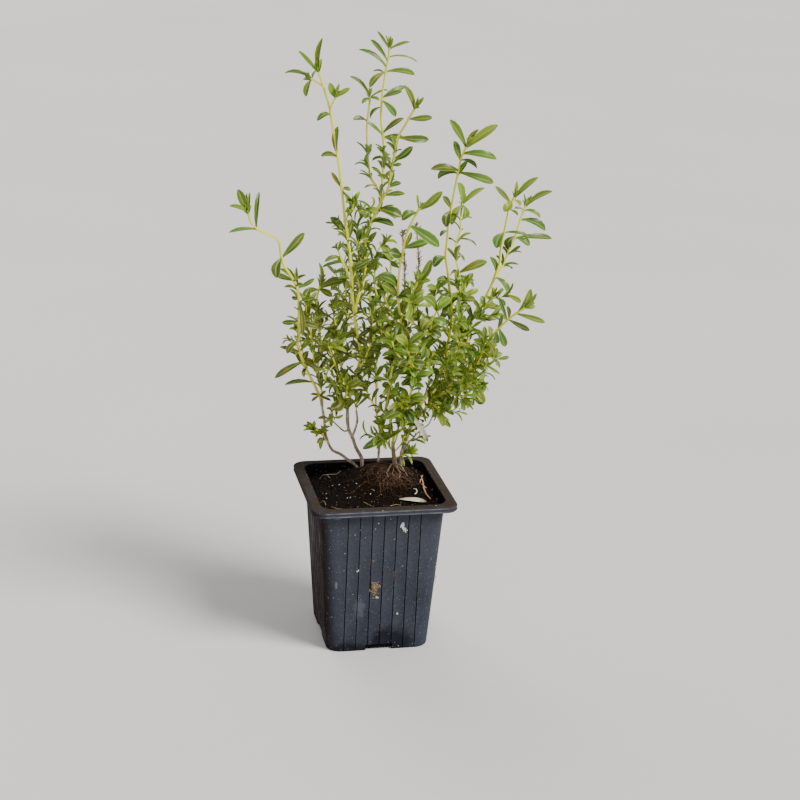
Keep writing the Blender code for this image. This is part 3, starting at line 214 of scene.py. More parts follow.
LEFT_SHOOTS = (
    ("shoot_left_tall", "wood_left", (1.15, 0.5),
     [(-14, 19, 148), (-12, 15, 159), (-10, 12, 169), (-9, 8, 182), (-11, 5, 191), (-13, 3, 199),
      (-15, 1, 210), (-17, -1, 222), (-18, -3, 234), (-20, -6, 249), (-23, -9, 264), (-25, -11, 276),
      (-27, -13, 290), (-30, -16, 307), (-33, -17, 322), (-36, -20, 336), (-40, -23, 348),
      (-44, -25, 359)],
     [(16.9, -42, -25, 378, 3.6, YOUNG), (17, -56, -28, 371, 2.8, YOUNG),
      (14.8, -44, -23, 331, 3, CURLED), (13.2, -31, -18, 327, 4, FLAT),
      (13.1, -40, -14, 309, 3.4, ARCHED), (12, -33, -11, 299, 2.6, FLAT), (12, -22, -15, 289, 2.8, FLAT),
      (11.9, -22, -14, 280, 2, ARCHED), (9.8, -33, -10, 272, 4.4, FLAT), (8.6, -24, -1, 254, 5, FLAT),
      (8.3, -8, -7, 245, 4, ARCHED), (4.4, -5, 1, 199, 3, ARCHED), (4.4, -19, 1, 195, 3, ARCHED),
      (4.4, -7, -2, 191, 4, ARCHED), (4.4, -16, 6, 200, 2.4, YOUNG), (3.2, 1, 5, 186, 2.6, ARCHED)],
     [(OPEN, 0.08, 0.55)]),
    ("left_tall_tip_twig", "shoot_left_tall", (0.6, 0.4),
     [(-42, -23, 350), (-45, -23, 353), (-48, -23, 355)],
     [(2, -63, -23, 358, 3.4, ARCHED), (1.9, -51, -25, 345, 3.2, FLAT), (1.8, -43, -19, 359, 2, YOUNG)]),
    ("left_tall_upper_twig", "shoot_left_tall", (0.6, 0.4),
     [(-36, -20, 335), (-36, -22, 339), (-34, -26, 345)],
     [(2, -38, -26, 353, 4, FLAT), (2, -26, -26, 350, 2.8, FLAT)]),
    ("left_tall_front_twig", "shoot_left_tall", (0.6, 0.4),
     [(-23, -9, 266), (-23, -13, 274), (-21, -16, 279), (-21, -18, 282)],
     [(1.8, -19, -17, 285, 3, YOUNG), (1.4, -21, -14, 282, 2.4, YOUNG)],
     [(FINE, 0.4, 1.0)]),
    ("left_tall_lower_twig", "shoot_left_tall", (0.6, 0.4),
     [(-18, -3, 229), (-21, -8, 237), (-26, -13, 247), (-29, -17, 254)],
     [(2.9, -34, -20, 256, 1.6, NARROW), (3, -26, -20, 260, 1.6, NARROW),
      (2.2, -37, -17, 247, 2.8, ARCHED), (1.8, -37, -10, 242, 2, ARCHED),
      (1.1, -30, -8, 238, 2, ARCHED)]),
    ("shoot_left_arching", "wood_creeping", (1.0, 0.5),
     [(-31, 22, 150), (-36, 18, 160), (-42, 13, 172), (-46, 8, 182), (-49, 3, 191), (-49, -1, 201),
      (-50, -7, 212), (-51, -11, 224), (-53, -15, 232), (-58, -19, 241), (-62, -23, 247), (-64, -25, 254),
      (-66, -29, 263), (-72, -33, 268), (-78, -36, 271), (-83, -38, 276), (-85, -41, 282)],
     [(16, -91, -41, 296, 4.2, FLAT), (16, -86, -42, 294, 2, YOUNG), (16, -84, -39, 294, 1.8, YOUNG),
      (14.3, -78, -34, 293, 2.6, CURLED), (16, -96, -43, 287, 2.6, CURLED),
      (14.1, -96, -40, 271, 2.4, ARCHED), (10.7, -50, -23, 266, 4.2, ARCHED),
      (10.7, -67, -29, 241, 5.2, FLAT), (7.8, -60, -11, 243, 3.2, FLAT), (7.9, -49, -21, 233, 3, CURLED),
      (7.8, -42, -14, 236, 2.4, ARCHED), (6.9, -55, -10, 224, 2.4, FLAT), (6.9, -49, -15, 201, 3, FLAT),
      (5.6, -60, -5, 207, 3, FLAT), (5.6, -38, -7, 204, 3.6, ARCHED), (4.2, -56, 0, 186, 3.4, ARCHED),
      (2.5, -62, 8, 168, 4, ARCHED), (2.5, -35, 7, 174, 2.4, ARCHED), (1.1, -55, 15, 161, 3, ARCHED),
      (0.2, -38, 19, 153, 1.8, ARCHED), (0.2, -28, 19, 155, 1.8, ARCHED),
      (0.2, -25, 17, 149, 1.8, CURLED), (0.2, -37, 20, 148, 1.8, ARCHED)],
     [(OPEN, 0.15, 0.62)]),
    ("shoot_left_upright", "wood_creeping", (0.8, 0.5),
     [(-29, 24, 141), (-29, 27, 150), (-31, 28, 157), (-32, 29, 165), (-31, 30, 174), (-30, 30, 180),
      (-31, 31, 191), (-32, 31, 198), (-33, 32, 205), (-33, 32, 211), (-31, 32, 219)],
     [(9.9, -32, 31, 234, 4.2, YOUNG), (9.7, -17, 29, 223, 5, ARCHED), (9.7, -24, 28, 213, 4.4, ARCHED),
      (9.6, -43, 27, 214, 4, ARCHED), (8.1, -39, 30, 207, 3, FLAT), (8.5, -37, 34, 211, 2, ARCHED),
      (7.9, -30, 27, 196, 4.4, ARCHED)],
     [(FINE, 0.12, 0.82)]),
    ("shoot_left_fine", "shoot_left_upright", (0.7, 0.45),
     [(-32, 28, 163), (-36, 17, 174), (-38, 12, 184), (-40, 7, 193), (-42, 2, 205), (-45, -1, 213),
      (-45, -3, 218)],
     [],
     [(FINE, 0.2, 1.0)]),
    ("shoot_left_low", "wood_creeping", (0.6, 0.4),
     [(-25, 28, 117), (-28, 21, 122), (-31, 15, 129), (-36, 10, 133)],
     [],
     [(FINE, 0.3, 1.0)]),
    ("shoot_left_front", "wood_creeping", (0.7, 0.45),
     [(-27, 26, 131), (-26, 19, 137), (-25, 14, 143), (-23, 7, 149), (-20, 1, 155), (-19, -2, 160),
      (-19, -4, 166)],
     [(5.9, -22, -5, 171, 3, FLAT), (5.9, -11, -6, 169, 5, ARCHED), (5.8, -6, -3, 164, 3, CURLED),
      (5.5, -15, -6, 160, 3, ARCHED), (4, -29, -4, 151, 6.4, FLAT), (4, -17, -2, 156, 2, ARCHED),
      (1.2, -23, 15, 139, 1.6, ARCHED), (0.9, -33, 19, 137, 2, ARCHED)],
     [(FINE, 0.3, 0.9)]),
    ("shoot_left_inner", "wood_left", (0.8, 0.45),
     [(-14, 20, 142), (-17, 27, 150), (-16, 33, 163), (-16, 36, 171), (-14, 40, 179), (-13, 42, 187),
      (-11, 44, 197), (-12, 46, 205), (-12, 47, 211), (-13, 48, 217)],
     [(6.8, -21, 41, 201, 5.4, ARCHED), (6.5, -24, 42, 184, 5, FLAT), (7.7, -21, 45, 208, 2, ARCHED),
      (8.8, -22, 45, 213, 4.2, ARCHED), (3.9, -28, 37, 176, 2.4, ARCHED),
      (2.9, -29, 34, 168, 2.6, ARCHED)],
     [(FINE, 0.1, 1.0)]),
    ("left_inner_twig", "shoot_left_inner", (0.5, 0.4),
     [(-17, 32, 166), (-20, 25, 174), (-23, 19, 182), (-24, 13, 191)],
     [],
     [(FINE, 0.2, 1.0)]),
    ("bud_left", "wood_left_spur", (0.6, 0.4),
     [(-9, 17, 142), (-9, 16, 150)],
     [],
     [(FINE, 0.3, 1.0)]),
)

CENTRE_SHOOTS = (
    ("shoot_centre_tall", "shoot_left_tall", (1.1, 0.45),
     [(-14, 2, 212), (-12, 5, 219), (-8, 10, 229), (-8, 13, 241), (-6, 17, 250), (-3, 21, 259),
      (1, 24, 266), (4, 26, 272), (5, 28, 277), (6, 31, 287), (7, 34, 298), (7, 38, 310), (6, 42, 321),
      (7, 45, 334), (9, 48, 346), (11, 50, 355), (12, 52, 362)],
     [(16, 4, 51, 372, 2.2, YOUNG), (16, 13, 53, 369, 2, YOUNG), (15.8, 24, 49, 366, 2.4, ARCHED),
      (15.2, 29, 49, 354, 2, CURLED), (14.9, 0, 51, 367, 3, FLAT), (14.5, -7, 52, 361, 4.2, ARCHED),
      (14.2, 28, 50, 346, 3.8, ARCHED), (14.2, -1, 45, 339, 4, FLAT), (14.1, 2, 51, 348, 2, NARROW),
      (12.9, 22, 49, 339, 3.8, ARCHED), (12.9, 19, 43, 337, 2.6, ARCHED),
      (12.8, 15, 41, 322, 4.2, ARCHED), (12.5, 0, 45, 320, 3.2, ARCHED), (11.1, -4, 36, 320, 3.4, FLAT),
      (11.2, 19, 36, 322, 3.8, ARCHED), (11, 19, 37, 310, 3.4, ARCHED), (11, 15, 42, 304, 3, ARCHED),
      (10, 2, 33, 305, 3.2, FLAT), (10, 0, 36, 296, 2.2, ARCHED), (10, 11, 31, 297, 3, ARCHED),
      (10, 11, 37, 300, 3, FLAT), (6.5, 16, 18, 265, 6.4, ARCHED), (6.5, -7, 20, 264, 5, FLAT),
      (5.3, 11, 16, 260, 4.2, ARCHED), (3.7, 0, 14, 257, 3.6, FLAT), (5.9, -11, 21, 275, 2, ARCHED),
      (5.5, -10, 25, 270, 2, ARCHED), (6.3, 14, 26, 262, 1.8, ARCHED)],
     [(FINE, 0.06, 0.6)]),
    ("shoot_centre_back", "shoot_centre_tall", (0.8, 0.5),
     [(4, 29, 274), (3, 33, 280), (0, 37, 285), (-1, 41, 292), (-1, 46, 302), (-1, 50, 314), (1, 55, 325),
      (2, 58, 331)],
     [(6.9, -11, 57, 344, 3.4, ARCHED), (6.9, 14, 60, 335, 2, CURLED), (6.8, -4, 52, 328, 3, ARCHED),
      (6.9, 7, 53, 330, 3, ARCHED), (5.3, -10, 49, 319, 3.4, FLAT), (2.9, -7, 39, 296, 1.8, ARCHED),
      (1.9, -7, 38, 290, 1.8, ARCHED), (1.2, -5, 32, 280, 1.8, ARCHED)],
     [(SPARSE, 0.15, 0.45)]),
    ("shoot_centre_right", "shoot_centre_tall", (0.8, 0.5),
     [(4, 26, 272), (7, 19, 282), (7, 14, 290), (7, 8, 299), (7, 0, 310), (7, -7, 319), (9, -13, 326),
      (10, -18, 331), (12, -25, 338)],
     [(7.9, 5, -26, 352, 3.8, ARCHED), (8, 17, -26, 345, 2.4, YOUNG), (7, 24, -19, 332, 3.6, ARCHED),
      (4.9, 25, -8, 317, 4.2, ARCHED), (3.3, 18, 3, 311, 4.2, FLAT), (3.4, 9, 8, 309, 2.4, FLAT),
      (3, 12, 5, 300, 2, ARCHED), (1.1, 15, 18, 286, 3, FLAT), (0.6, 18, 20, 279, 3.4, FLAT),
      (2.5, 2, 9, 300, 2.4, ARCHED)],
     [(SPARSE, 0.15, 0.6)]),
    ("shoot_centre_fine", "shoot_left_tall", (0.7, 0.45),
     [(-14, 1, 205), (-12, 9, 214), (-10, 15, 222), (-10, 20, 230), (-9, 24, 239), (-9, 27, 248),
      (-9, 30, 256), (-7, 31, 263)],
     [],
     [(FINE, 0.12, 1.0)]),
    ("shoot_middle", "wood_thin", (1.0, 0.5),
     [(9, 13, 145), (9, 7, 158), (9, 2, 170), (10, -2, 180), (12, -5, 188), (12, -8, 196), (11, -12, 208),
      (8, -17, 223), (7, -21, 239), (8, -25, 254), (9, -29, 266), (12, -33, 276), (15, -36, 283)],
     [(11.7, 27, -39, 293, 4.6, FLAT), (11.4, 4, -37, 276, 4.8, ARCHED),
      (10.5, 27, -37, 260, 6.4, ARCHED), (10.3, 7, -28, 264, 1.6, NARROW),
      (9.2, 23, -28, 261, 4.6, ARCHED), (9.2, 13, -24, 266, 2.4, FLAT), (8.8, -1, -28, 255, 6, FLAT),
      (8.3, 2, -19, 247, 3, FLAT), (7.4, -5, -21, 239, 6, ARCHED), (7.1, -4, -25, 235, 6.2, FLAT),
      (7.1, 16, -14, 228, 4, FLAT), (5.9, 5, -19, 195, 6.2, ARCHED), (5.9, 15, -16, 197, 5.6, ARCHED)],
     [(FINE, 0.05, 0.28), (BROAD, 0.25, 0.5)]),
    ("middle_twig", "shoot_middle", (0.6, 0.4),
     [(11, -13, 209), (12, -17, 215), (14, -22, 223), (15, -27, 231), (16, -32, 238)],
     [(3.7, 23, -35, 252, 4.4, FLAT), (3.5, 17, -27, 245, 3, FLAT), (2.8, 20, -29, 235, 3, ARCHED)],
     [(BROAD, 0.2, 0.9)]),
    ("shoot_front", "wood_clump", (0.9, 0.5),
     [(15, 12, 123), (15, 11, 127), (18, 8, 131), (20, 5, 136), (20, 2, 143), (18, -2, 149),
      (19, -6, 156), (20, -10, 164), (19, -14, 171), (18, -19, 177), (17, -24, 183), (14, -29, 191),
      (11, -33, 198)],
     [(5.1, 11, -6, 158, 5, FLAT), (5.1, 28, -6, 157, 4.8, ARCHED), (4.9, 3, -9, 145, 5.6, ARCHED),
      (4.8, 22, -7, 141, 5.4, ARCHED), (2, -7, 4, 121, 5, ARCHED), (12, 20, -37, 208, 4.4, FLAT),
      (12, 3, -36, 206, 5, FLAT), (11.8, 17, -39, 198, 5.4, ARCHED), (10.6, 23, -30, 186, 5.2, ARCHED),
      (8.1, 12, -18, 169, 3, ARCHED)],
     [(BROAD, 0.12, 0.95)]),
    ("shoot_back", "wood_thin", (0.8, 0.5),
     [(8, 24, 124), (6, 30, 140), (7, 34, 153), (7, 37, 166), (10, 40, 179), (11, 42, 190), (14, 44, 201),
      (15, 45, 211), (16, 46, 222), (17, 47, 231)],
     [(8.8, 8, 45, 243, 6, FLAT), (8.7, 5, 48, 232, 4.6, ARCHED), (8.5, 24, 49, 229, 4, ARCHED),
      (7.9, 8, 44, 217, 4, ARCHED), (7, 6, 42, 205, 4.6, ARCHED), (6.9, 5, 47, 209, 3, ARCHED),
      (6, 6, 42, 197, 3, ARCHED), (6, 19, 45, 205, 3.4, ARCHED), (4.9, 15, 37, 185, 4.4, ARCHED),
      (4.2, 20, 33, 174, 6, ARCHED), (4.2, 4, 41, 183, 2.4, ARCHED)],
     [(OPEN, 0.3, 0.9)]),
    ("tuft_base", "wood_clump", (0.6, 0.4),
     [(16, 15, 110), (20, 11, 113), (23, 9, 115)],
     [],
     [(TUFT, 0.3, 1.0)]),
)

RIGHT_SHOOTS = (
    ("shoot_right_tall", "wood_right", (1.1, 0.5),
     [(31, 16, 146), (34, 15, 151), (37, 12, 157), (41, 10, 164), (43, 9, 171), (45, 7, 180),
      (45, 6, 187), (46, 4, 195), (46, 2, 205), (45, 1, 215), (43, -1, 225), (41, -3, 236), (39, -4, 246),
      (39, -6, 256), (39, -8, 268), (40, -10, 279), (41, -12, 290), (42, -14, 299), (43, -16, 308),
      (45, -19, 315)],
     [(19, 34, -20, 331, 4.2, FLAT), (19, 52, -18, 325, 3, YOUNG), (18.8, 63, -20, 328, 5.2, FLAT),
      (18.3, 63, -21, 308, 5.2, CURLED), (17.8, 38, -16, 318, 4.6, FLAT),
      (17.8, 52, -19, 302, 3.2, CURLED), (17.1, 25, -15, 301, 5.2, ARCHED),
      (16.9, 31, -9, 294, 4, CURLED), (17, 64, -13, 292, 4.4, ARCHED), (16.7, 47, -16, 306, 3.4, FLAT),
      (14.7, 34, -11, 284, 3.6, FLAT), (14.6, 36, -14, 266, 5, ARCHED), (13.5, 34, -8, 259, 2.4, ARCHED),
      (11.9, 31, -7, 240, 5.4, ARCHED), (10.1, 34, -4, 231, 5, ARCHED), (9.7, 41, -7, 218, 3.6, ARCHED),
      (9.3, 60, 1, 217, 4, ARCHED), (8.9, 50, -3, 221, 4.6, FLAT), (8.4, 38, -2, 205, 4, ARCHED),
      (6.8, 52, 0, 191, 4, ARCHED)],
     [(BROAD, 0.08, 0.42)]),
    ("shoot_right_side", "shoot_right_tall", (0.8, 0.5),
     [(46, 3, 213), (51, 10, 220), (53, 15, 224), (54, 20, 228), (53, 24, 234), (53, 29, 239),
      (55, 34, 245), (58, 38, 252), (59, 43, 259), (61, 48, 266)],
     [(9, 57, 46, 280, 5.8, FLAT), (9, 75, 48, 276, 5, FLAT), (8.9, 61, 44, 257, 6, ARCHED),
      (8.8, 53, 41, 254, 6, ARCHED), (6.2, 68, 34, 242, 2.2, CURLED), (5.2, 59, 28, 234, 2.6, ARCHED),
      (3.1, 71, 18, 236, 5, ARCHED), (2.9, 55, 15, 219, 5, ARCHED), (2.9, 64, 21, 219, 4, ARCHED),
      (3, 49, 24, 226, 4, ARCHED)],
     [(AIRY, 0.45, 0.9)]),
    ("shoot_right_inner", "shoot_right_tall", (0.7, 0.45),
     [(43, 8, 172), (36, 0, 181), (31, -5, 188), (29, -9, 195), (29, -14, 203), (29, -18, 210),
      (31, -22, 217)],
     [(6, 39, -22, 225, 5, FLAT), (6, 21, -26, 227, 5.4, FLAT), (5, 22, -21, 205, 5.4, ARCHED),
      (5.1, 37, -21, 208, 5, ARCHED), (4, 35, -18, 199, 5, ARCHED), (4, 22, -11, 207, 4, FLAT)],
     [(BROAD, 0.15, 0.8)]),
    ("shoot_right_outer", "wood_right", (1.1, 0.5),
     [(30, 19, 138), (36, 24, 145), (41, 26, 149), (48, 28, 153), (54, 29, 156), (58, 30, 161),
      (61, 31, 165), (63, 31, 172), (64, 31, 180), (65, 31, 186), (67, 32, 196), (70, 32, 202),
      (74, 32, 208), (77, 32, 214), (80, 33, 221), (83, 33, 231), (84, 35, 239), (86, 36, 251),
      (88, 38, 260), (89, 38, 266), (92, 38, 272)],
     [(19.8, 106, 36, 285, 4.6, FLAT), (19.9, 93, 39, 282, 2.4, YOUNG), (19.3, 79, 38, 279, 4.2, FLAT),
      (19.4, 84, 33, 264, 5.2, ARCHED), (19.7, 97, 41, 266, 3, ARCHED), (18.7, 95, 39, 260, 2, ARCHED),
      (16.9, 80, 32, 241, 5.6, FLAT), (16.9, 102, 35, 247, 2.8, CURLED), (14.3, 77, 34, 235, 4, FLAT),
      (14.1, 88, 29, 210, 5, CURLED), (11.2, 86, 31, 201, 3.6, ARCHED), (10, 79, 29, 195, 4, ARCHED),
      (10, 61, 30, 206, 5, FLAT), (10.1, 74, 35, 204, 3, FLAT), (9.5, 59, 28, 187, 5, ARCHED),
      (9.4, 74, 33, 183, 4, ARCHED), (7.9, 69, 27, 175, 3.6, ARCHED), (7.2, 56, 26, 170, 5.4, ARCHED)],
     [(BROAD, 0.08, 0.42)]),
    ("shoot_right_outer_side", "shoot_right_outer", (0.8, 0.5),
     [(80, 32, 219), (86, 40, 225), (90, 45, 230), (94, 49, 236), (98, 54, 241), (101, 58, 248),
      (104, 62, 254), (107, 65, 260)],
     [(7, 124, 63, 270, 4.6, FLAT), (7, 109, 66, 266, 2, YOUNG), (6.5, 116, 60, 253, 3.4, CURLED),
      (6.5, 99, 63, 259, 2, ARCHED), (5.7, 120, 60, 245, 5.4, ARCHED), (4.3, 94, 51, 234, 6, ARCHED),
      (4.2, 108, 53, 237, 4.5, ARCHED), (4.1, 124, 58, 240, 4.6, ARCHED)],
     [(AIRY, 0.2, 0.5)]),
    ("shoot_right_leaning", "wood_right", (1.0, 0.5),
     [(28, 21, 130), (33, 13, 141), (37, 5, 152), (42, 0, 157), (47, -5, 164), (51, -11, 171),
      (54, -16, 179), (57, -20, 185), (59, -26, 192), (63, -31, 202), (65, -37, 209), (69, -42, 216),
      (72, -47, 221), (77, -51, 226)],
     [(12.2, 81, -46, 236, 4.2, FLAT), (13, 83, -52, 235, 3, YOUNG), (12.9, 82, -54, 227, 3, ARCHED),
      (12.1, 90, -49, 216, 3.4, ARCHED), (11.1, 82, -45, 210, 3, ARCHED), (11, 63, -41, 230, 2.4, FLAT),
      (11.1, 69, -39, 224, 2.4, FLAT), (10.1, 69, -40, 199, 4, ARCHED), (9.8, 65, -33, 199, 4, ARCHED),
      (8.7, 65, -32, 188, 4, ARCHED), (8.5, 56, -27, 201, 1.6, ARCHED), (9.9, 66, -40, 219, 2.2, FLAT)],
     [(BROAD, 0.1, 0.7)]),
    ("shoot_right_low_back", "shoot_right_outer", (0.6, 0.4),
     [(58, 30, 161), (62, 22, 161), (63, 14, 161), (66, 8, 160)],
     [(3, 70, 5, 148, 4, ARCHED), (2.8, 72, 11, 154, 4, ARCHED), (2.6, 67, 6, 148, 3.4, ARCHED),
      (2, 73, 17, 158, 3, ARCHED)],
     [(BUSHY, 0.4, 1.0)]),
    ("shoot_right_low_front", "shoot_right_leaning", (0.6, 0.4),
     [(44, -3, 160), (46, -9, 160), (48, -14, 161), (50, -19, 160)],
     [(3, 54, -22, 158, 2.8, ARCHED), (2, 46, -17, 153, 2.6, ARCHED), (2.7, 52, -16, 151, 2.4, ARCHED),
      (1.2, 43, -13, 154, 2.4, ARCHED)],
     [(CURLY, 0.4, 1.0)]),
    ("shoot_right_low", "shoot_right_leaning", (0.6, 0.4),
     [(35, 8, 149), (35, 0, 151), (37, -6, 150), (39, -10, 150)],
     [(1, 47, -4, 136, 3.4, ARCHED), (3, 40, -13, 140, 4, ARCHED), (3, 45, -12, 153, 3.4, ARCHED),
      (2, 33, -10, 145, 2.4, ARCHED)],
     [(CURLY, 0.4, 1.0)]),
    ("tuft_right", "twig_right", (0.5, 0.4),
     [(38, 8, 140), (38, 7, 147)],
     [],
     [(CURLY, 0.2, 1.0)]),
)

DRY_SPIKES = (
    ("dry_spike_left", "wood_thin", (0.55, 0.4),
     [(8, 18, 137), (13, 25, 143), (16, 32, 153), (21, 40, 174), (25, 46, 195), (26, 49, 214),
      (26, 51, 228), (24, 52, 247)],
     [],
     [(HUSKS, 0.5, 1.0)]),
    ("dry_spike_right", "wood_right", (0.55, 0.4),
     [(29, 20, 134), (31, 26, 142), (34, 31, 150), (35, 38, 170), (34, 41, 190), (33, 44, 211),
      (34, 46, 229), (32, 48, 252)],
     [],
     [(HUSKS, 0.5, 1.0)]),
)

# The small shoots that close the gaps, each filled all along
CLOSE_SHOOTS = (
    ("back_low", "shoot_back", FINE,
     [(6, 32, 146), (6, 35, 161), (4, 37, 178), (3, 40, 195), (2, 42, 212)]),
    ("thin_inner", "shoot_middle", FINE, [(9, 8, 157), (13, 13, 166), (15, 19, 179), (17, 24, 190)]),
    ("thin_low", "shoot_back", SPARSE, [(7, 27, 133), (5, 26, 140), (1, 24, 147), (-2, 22, 154)]),
    ("left_low_inner", "shoot_left_tall", FINE,
     [(-13, 18, 151), (-20, 11, 162), (-25, 5, 176), (-31, -2, 191)]),
    ("left_tall_low", "shoot_left_tall", FINE,
     [(-10, 12, 169), (-8, 5, 177), (-6, -1, 187), (-4, -8, 199)]),
    ("left_tall_mid", "shoot_left_tall", FINE, [(-9, 8, 183), (-5, 6, 193), (-3, 4, 203), (-2, 2, 214)]),
    ("left_inner_low", "shoot_left_inner", FINE,
     [(-16, 25, 148), (-9, 26, 155), (-4, 26, 160), (-1, 26, 167)]),
    ("left_inner_mid", "shoot_left_inner", FINE,
     [(-14, 40, 178), (-18, 38, 187), (-21, 36, 197), (-22, 34, 206)]),
    ("left_arching_low", "shoot_left_arching", SPARSE,
     [(-42, 12, 173), (-44, 12, 182), (-46, 11, 190), (-47, 10, 198)]),
    ("left_upright_low", "shoot_left_upright", SPARSE,
     [(-32, 29, 164), (-25, 26, 173), (-22, 23, 179), (-19, 20, 186)]),
    ("clump_left", "tuft_base", FINE, [(15, 14, 114), (10, 11, 122), (6, 7, 130), (4, 4, 137)]),
    ("clump_front", "tuft_base", FINE, [(15, 13, 117), (13, 8, 126), (10, 3, 135), (9, -2, 144)]),
    ("clump_right", "tuft_base", CURLY, [(15, 14, 114), (19, 10, 121), (20, 6, 129), (23, 2, 136)]),
    ("clump_back", "tuft_base", CURLY, [(15, 13, 117), (17, 14, 125), (18, 14, 132), (20, 14, 140)]),
    ("front_left", "shoot_front", BROAD, [(18, -3, 151), (13, -8, 158), (7, -13, 166), (3, -18, 174)]),
    ("front_right", "shoot_front", BROAD,
     [(20, -12, 167), (20, -16, 174), (22, -20, 182), (22, -24, 189)]),
    ("front_upper", "shoot_front", BROAD, [(17, -23, 182), (9, -24, 189), (5, -25, 195), (3, -26, 201)]),
    ("middle_left", "shoot_middle", FINE, [(11, -3, 183), (4, -6, 191), (0, -9, 201), (-3, -12, 209)]),
    ("middle_upper", "shoot_middle", BROAD,
     [(12, -10, 202), (6, -11, 211), (2, -13, 220), (-1, -14, 228)]),
    ("middle_right", "shoot_middle", BROAD,
     [(12, -7, 193), (15, -8, 201), (19, -9, 210), (21, -10, 217)]),
    ("centre_low_right", "shoot_centre_tall", BROAD,
     [(-8, 11, 233), (-2, 14, 238), (2, 17, 245), (7, 20, 250)]),
    ("centre_low_left", "shoot_centre_tall", FINE,
     [(-8, 10, 228), (-7, 10, 237), (-7, 11, 247), (-8, 12, 255)]),
    ("back_upper", "shoot_back", BROAD, [(13, 43, 198), (8, 42, 207), (5, 41, 217), (5, 40, 226)]),
    ("right_low_inner", "shoot_right_tall", CURLY,
     [(34, 15, 152), (36, 13, 162), (38, 12, 170), (40, 10, 180)]),
    ("right_tall_low", "shoot_right_tall", CURLY,
     [(41, 10, 165), (44, 2, 174), (46, -6, 184), (48, -14, 195)]),
    ("right_tall_mid", "shoot_right_tall", BROAD,
     [(46, 4, 193), (40, 4, 202), (37, 4, 210), (35, 4, 219)]),
    ("right_tall_out", "shoot_right_tall", BROAD,
     [(46, 2, 205), (48, -1, 214), (51, -5, 222), (51, -8, 230)]),
    ("right_outer_low", "shoot_right_outer", CURLY,
     [(48, 28, 153), (54, 19, 161), (60, 11, 168), (63, 2, 176)]),
    ("right_outer_mid", "shoot_right_outer", BROAD,
     [(63, 31, 173), (61, 29, 184), (60, 26, 194), (57, 24, 202)]),
    ("right_outer_up", "shoot_right_outer", BROAD,
     [(66, 32, 194), (71, 26, 201), (73, 20, 209), (75, 14, 215)]),
    ("right_leaning_low", "shoot_right_leaning", CURLY,
     [(41, 1, 156), (46, -7, 160), (52, -14, 165), (56, -22, 173)]),
    ("right_leaning_mid", "shoot_right_leaning", CURLY,
     [(52, -13, 175), (55, -19, 179), (58, -24, 186), (59, -30, 194)]),
    ("right_wood_low", "shoot_right_leaning", CURLY,
     [(32, 14, 139), (35, 8, 146), (39, 2, 150), (43, -4, 153)]),
    ("right_inner_low", "shoot_right_inner", BROAD,
     [(33, -4, 186), (29, -5, 192), (25, -7, 200), (23, -8, 207)]),
)

# Stems that are part of their parent's piece
TWIGS = ("wood_left_spur", "wood_left_twig", "root_left", "root_front", "root_right",
         "left_tall_tip_twig", "left_tall_upper_twig", "left_tall_front_twig",
         "left_tall_lower_twig", "left_inner_twig", "middle_twig")

Leaf = namedtuple("Leaf", "base tip up width form age")
Stem = namedtuple("Stem", "table node parent radii route leaves fill")


def read_tables():
    """Every stem by its name, in metres."""
    stems = {}

    def note(name, table, node, parent, radii, route, leaves=(), fill=()):
        stems[name] = Stem(table, node, parent, [radius * MM for radius in radii],
                           [Vector(point) * MM for point in route], leaves, fill)

    for table, rows in (("wood", WOODY_STEMS), ("left", LEFT_SHOOTS), ("centre", CENTRE_SHOOTS),
                        ("right", RIGHT_SHOOTS), ("dry", DRY_SPIKES)):
        for name, parent, *rest in rows:
            note(name, table, parent if name in TWIGS else name, parent, *rest)
    for name, node, fill, route in CLOSE_SHOOTS:
        parent = "wood_clump" if node == "tuft_base" else node
        note(name, "close", node, parent, TWIG_RADII, route, fill=[(fill, 0.1, 1.0)])
    return stems


STEMS = read_tables()
PLANT = {}
ROOM = {}

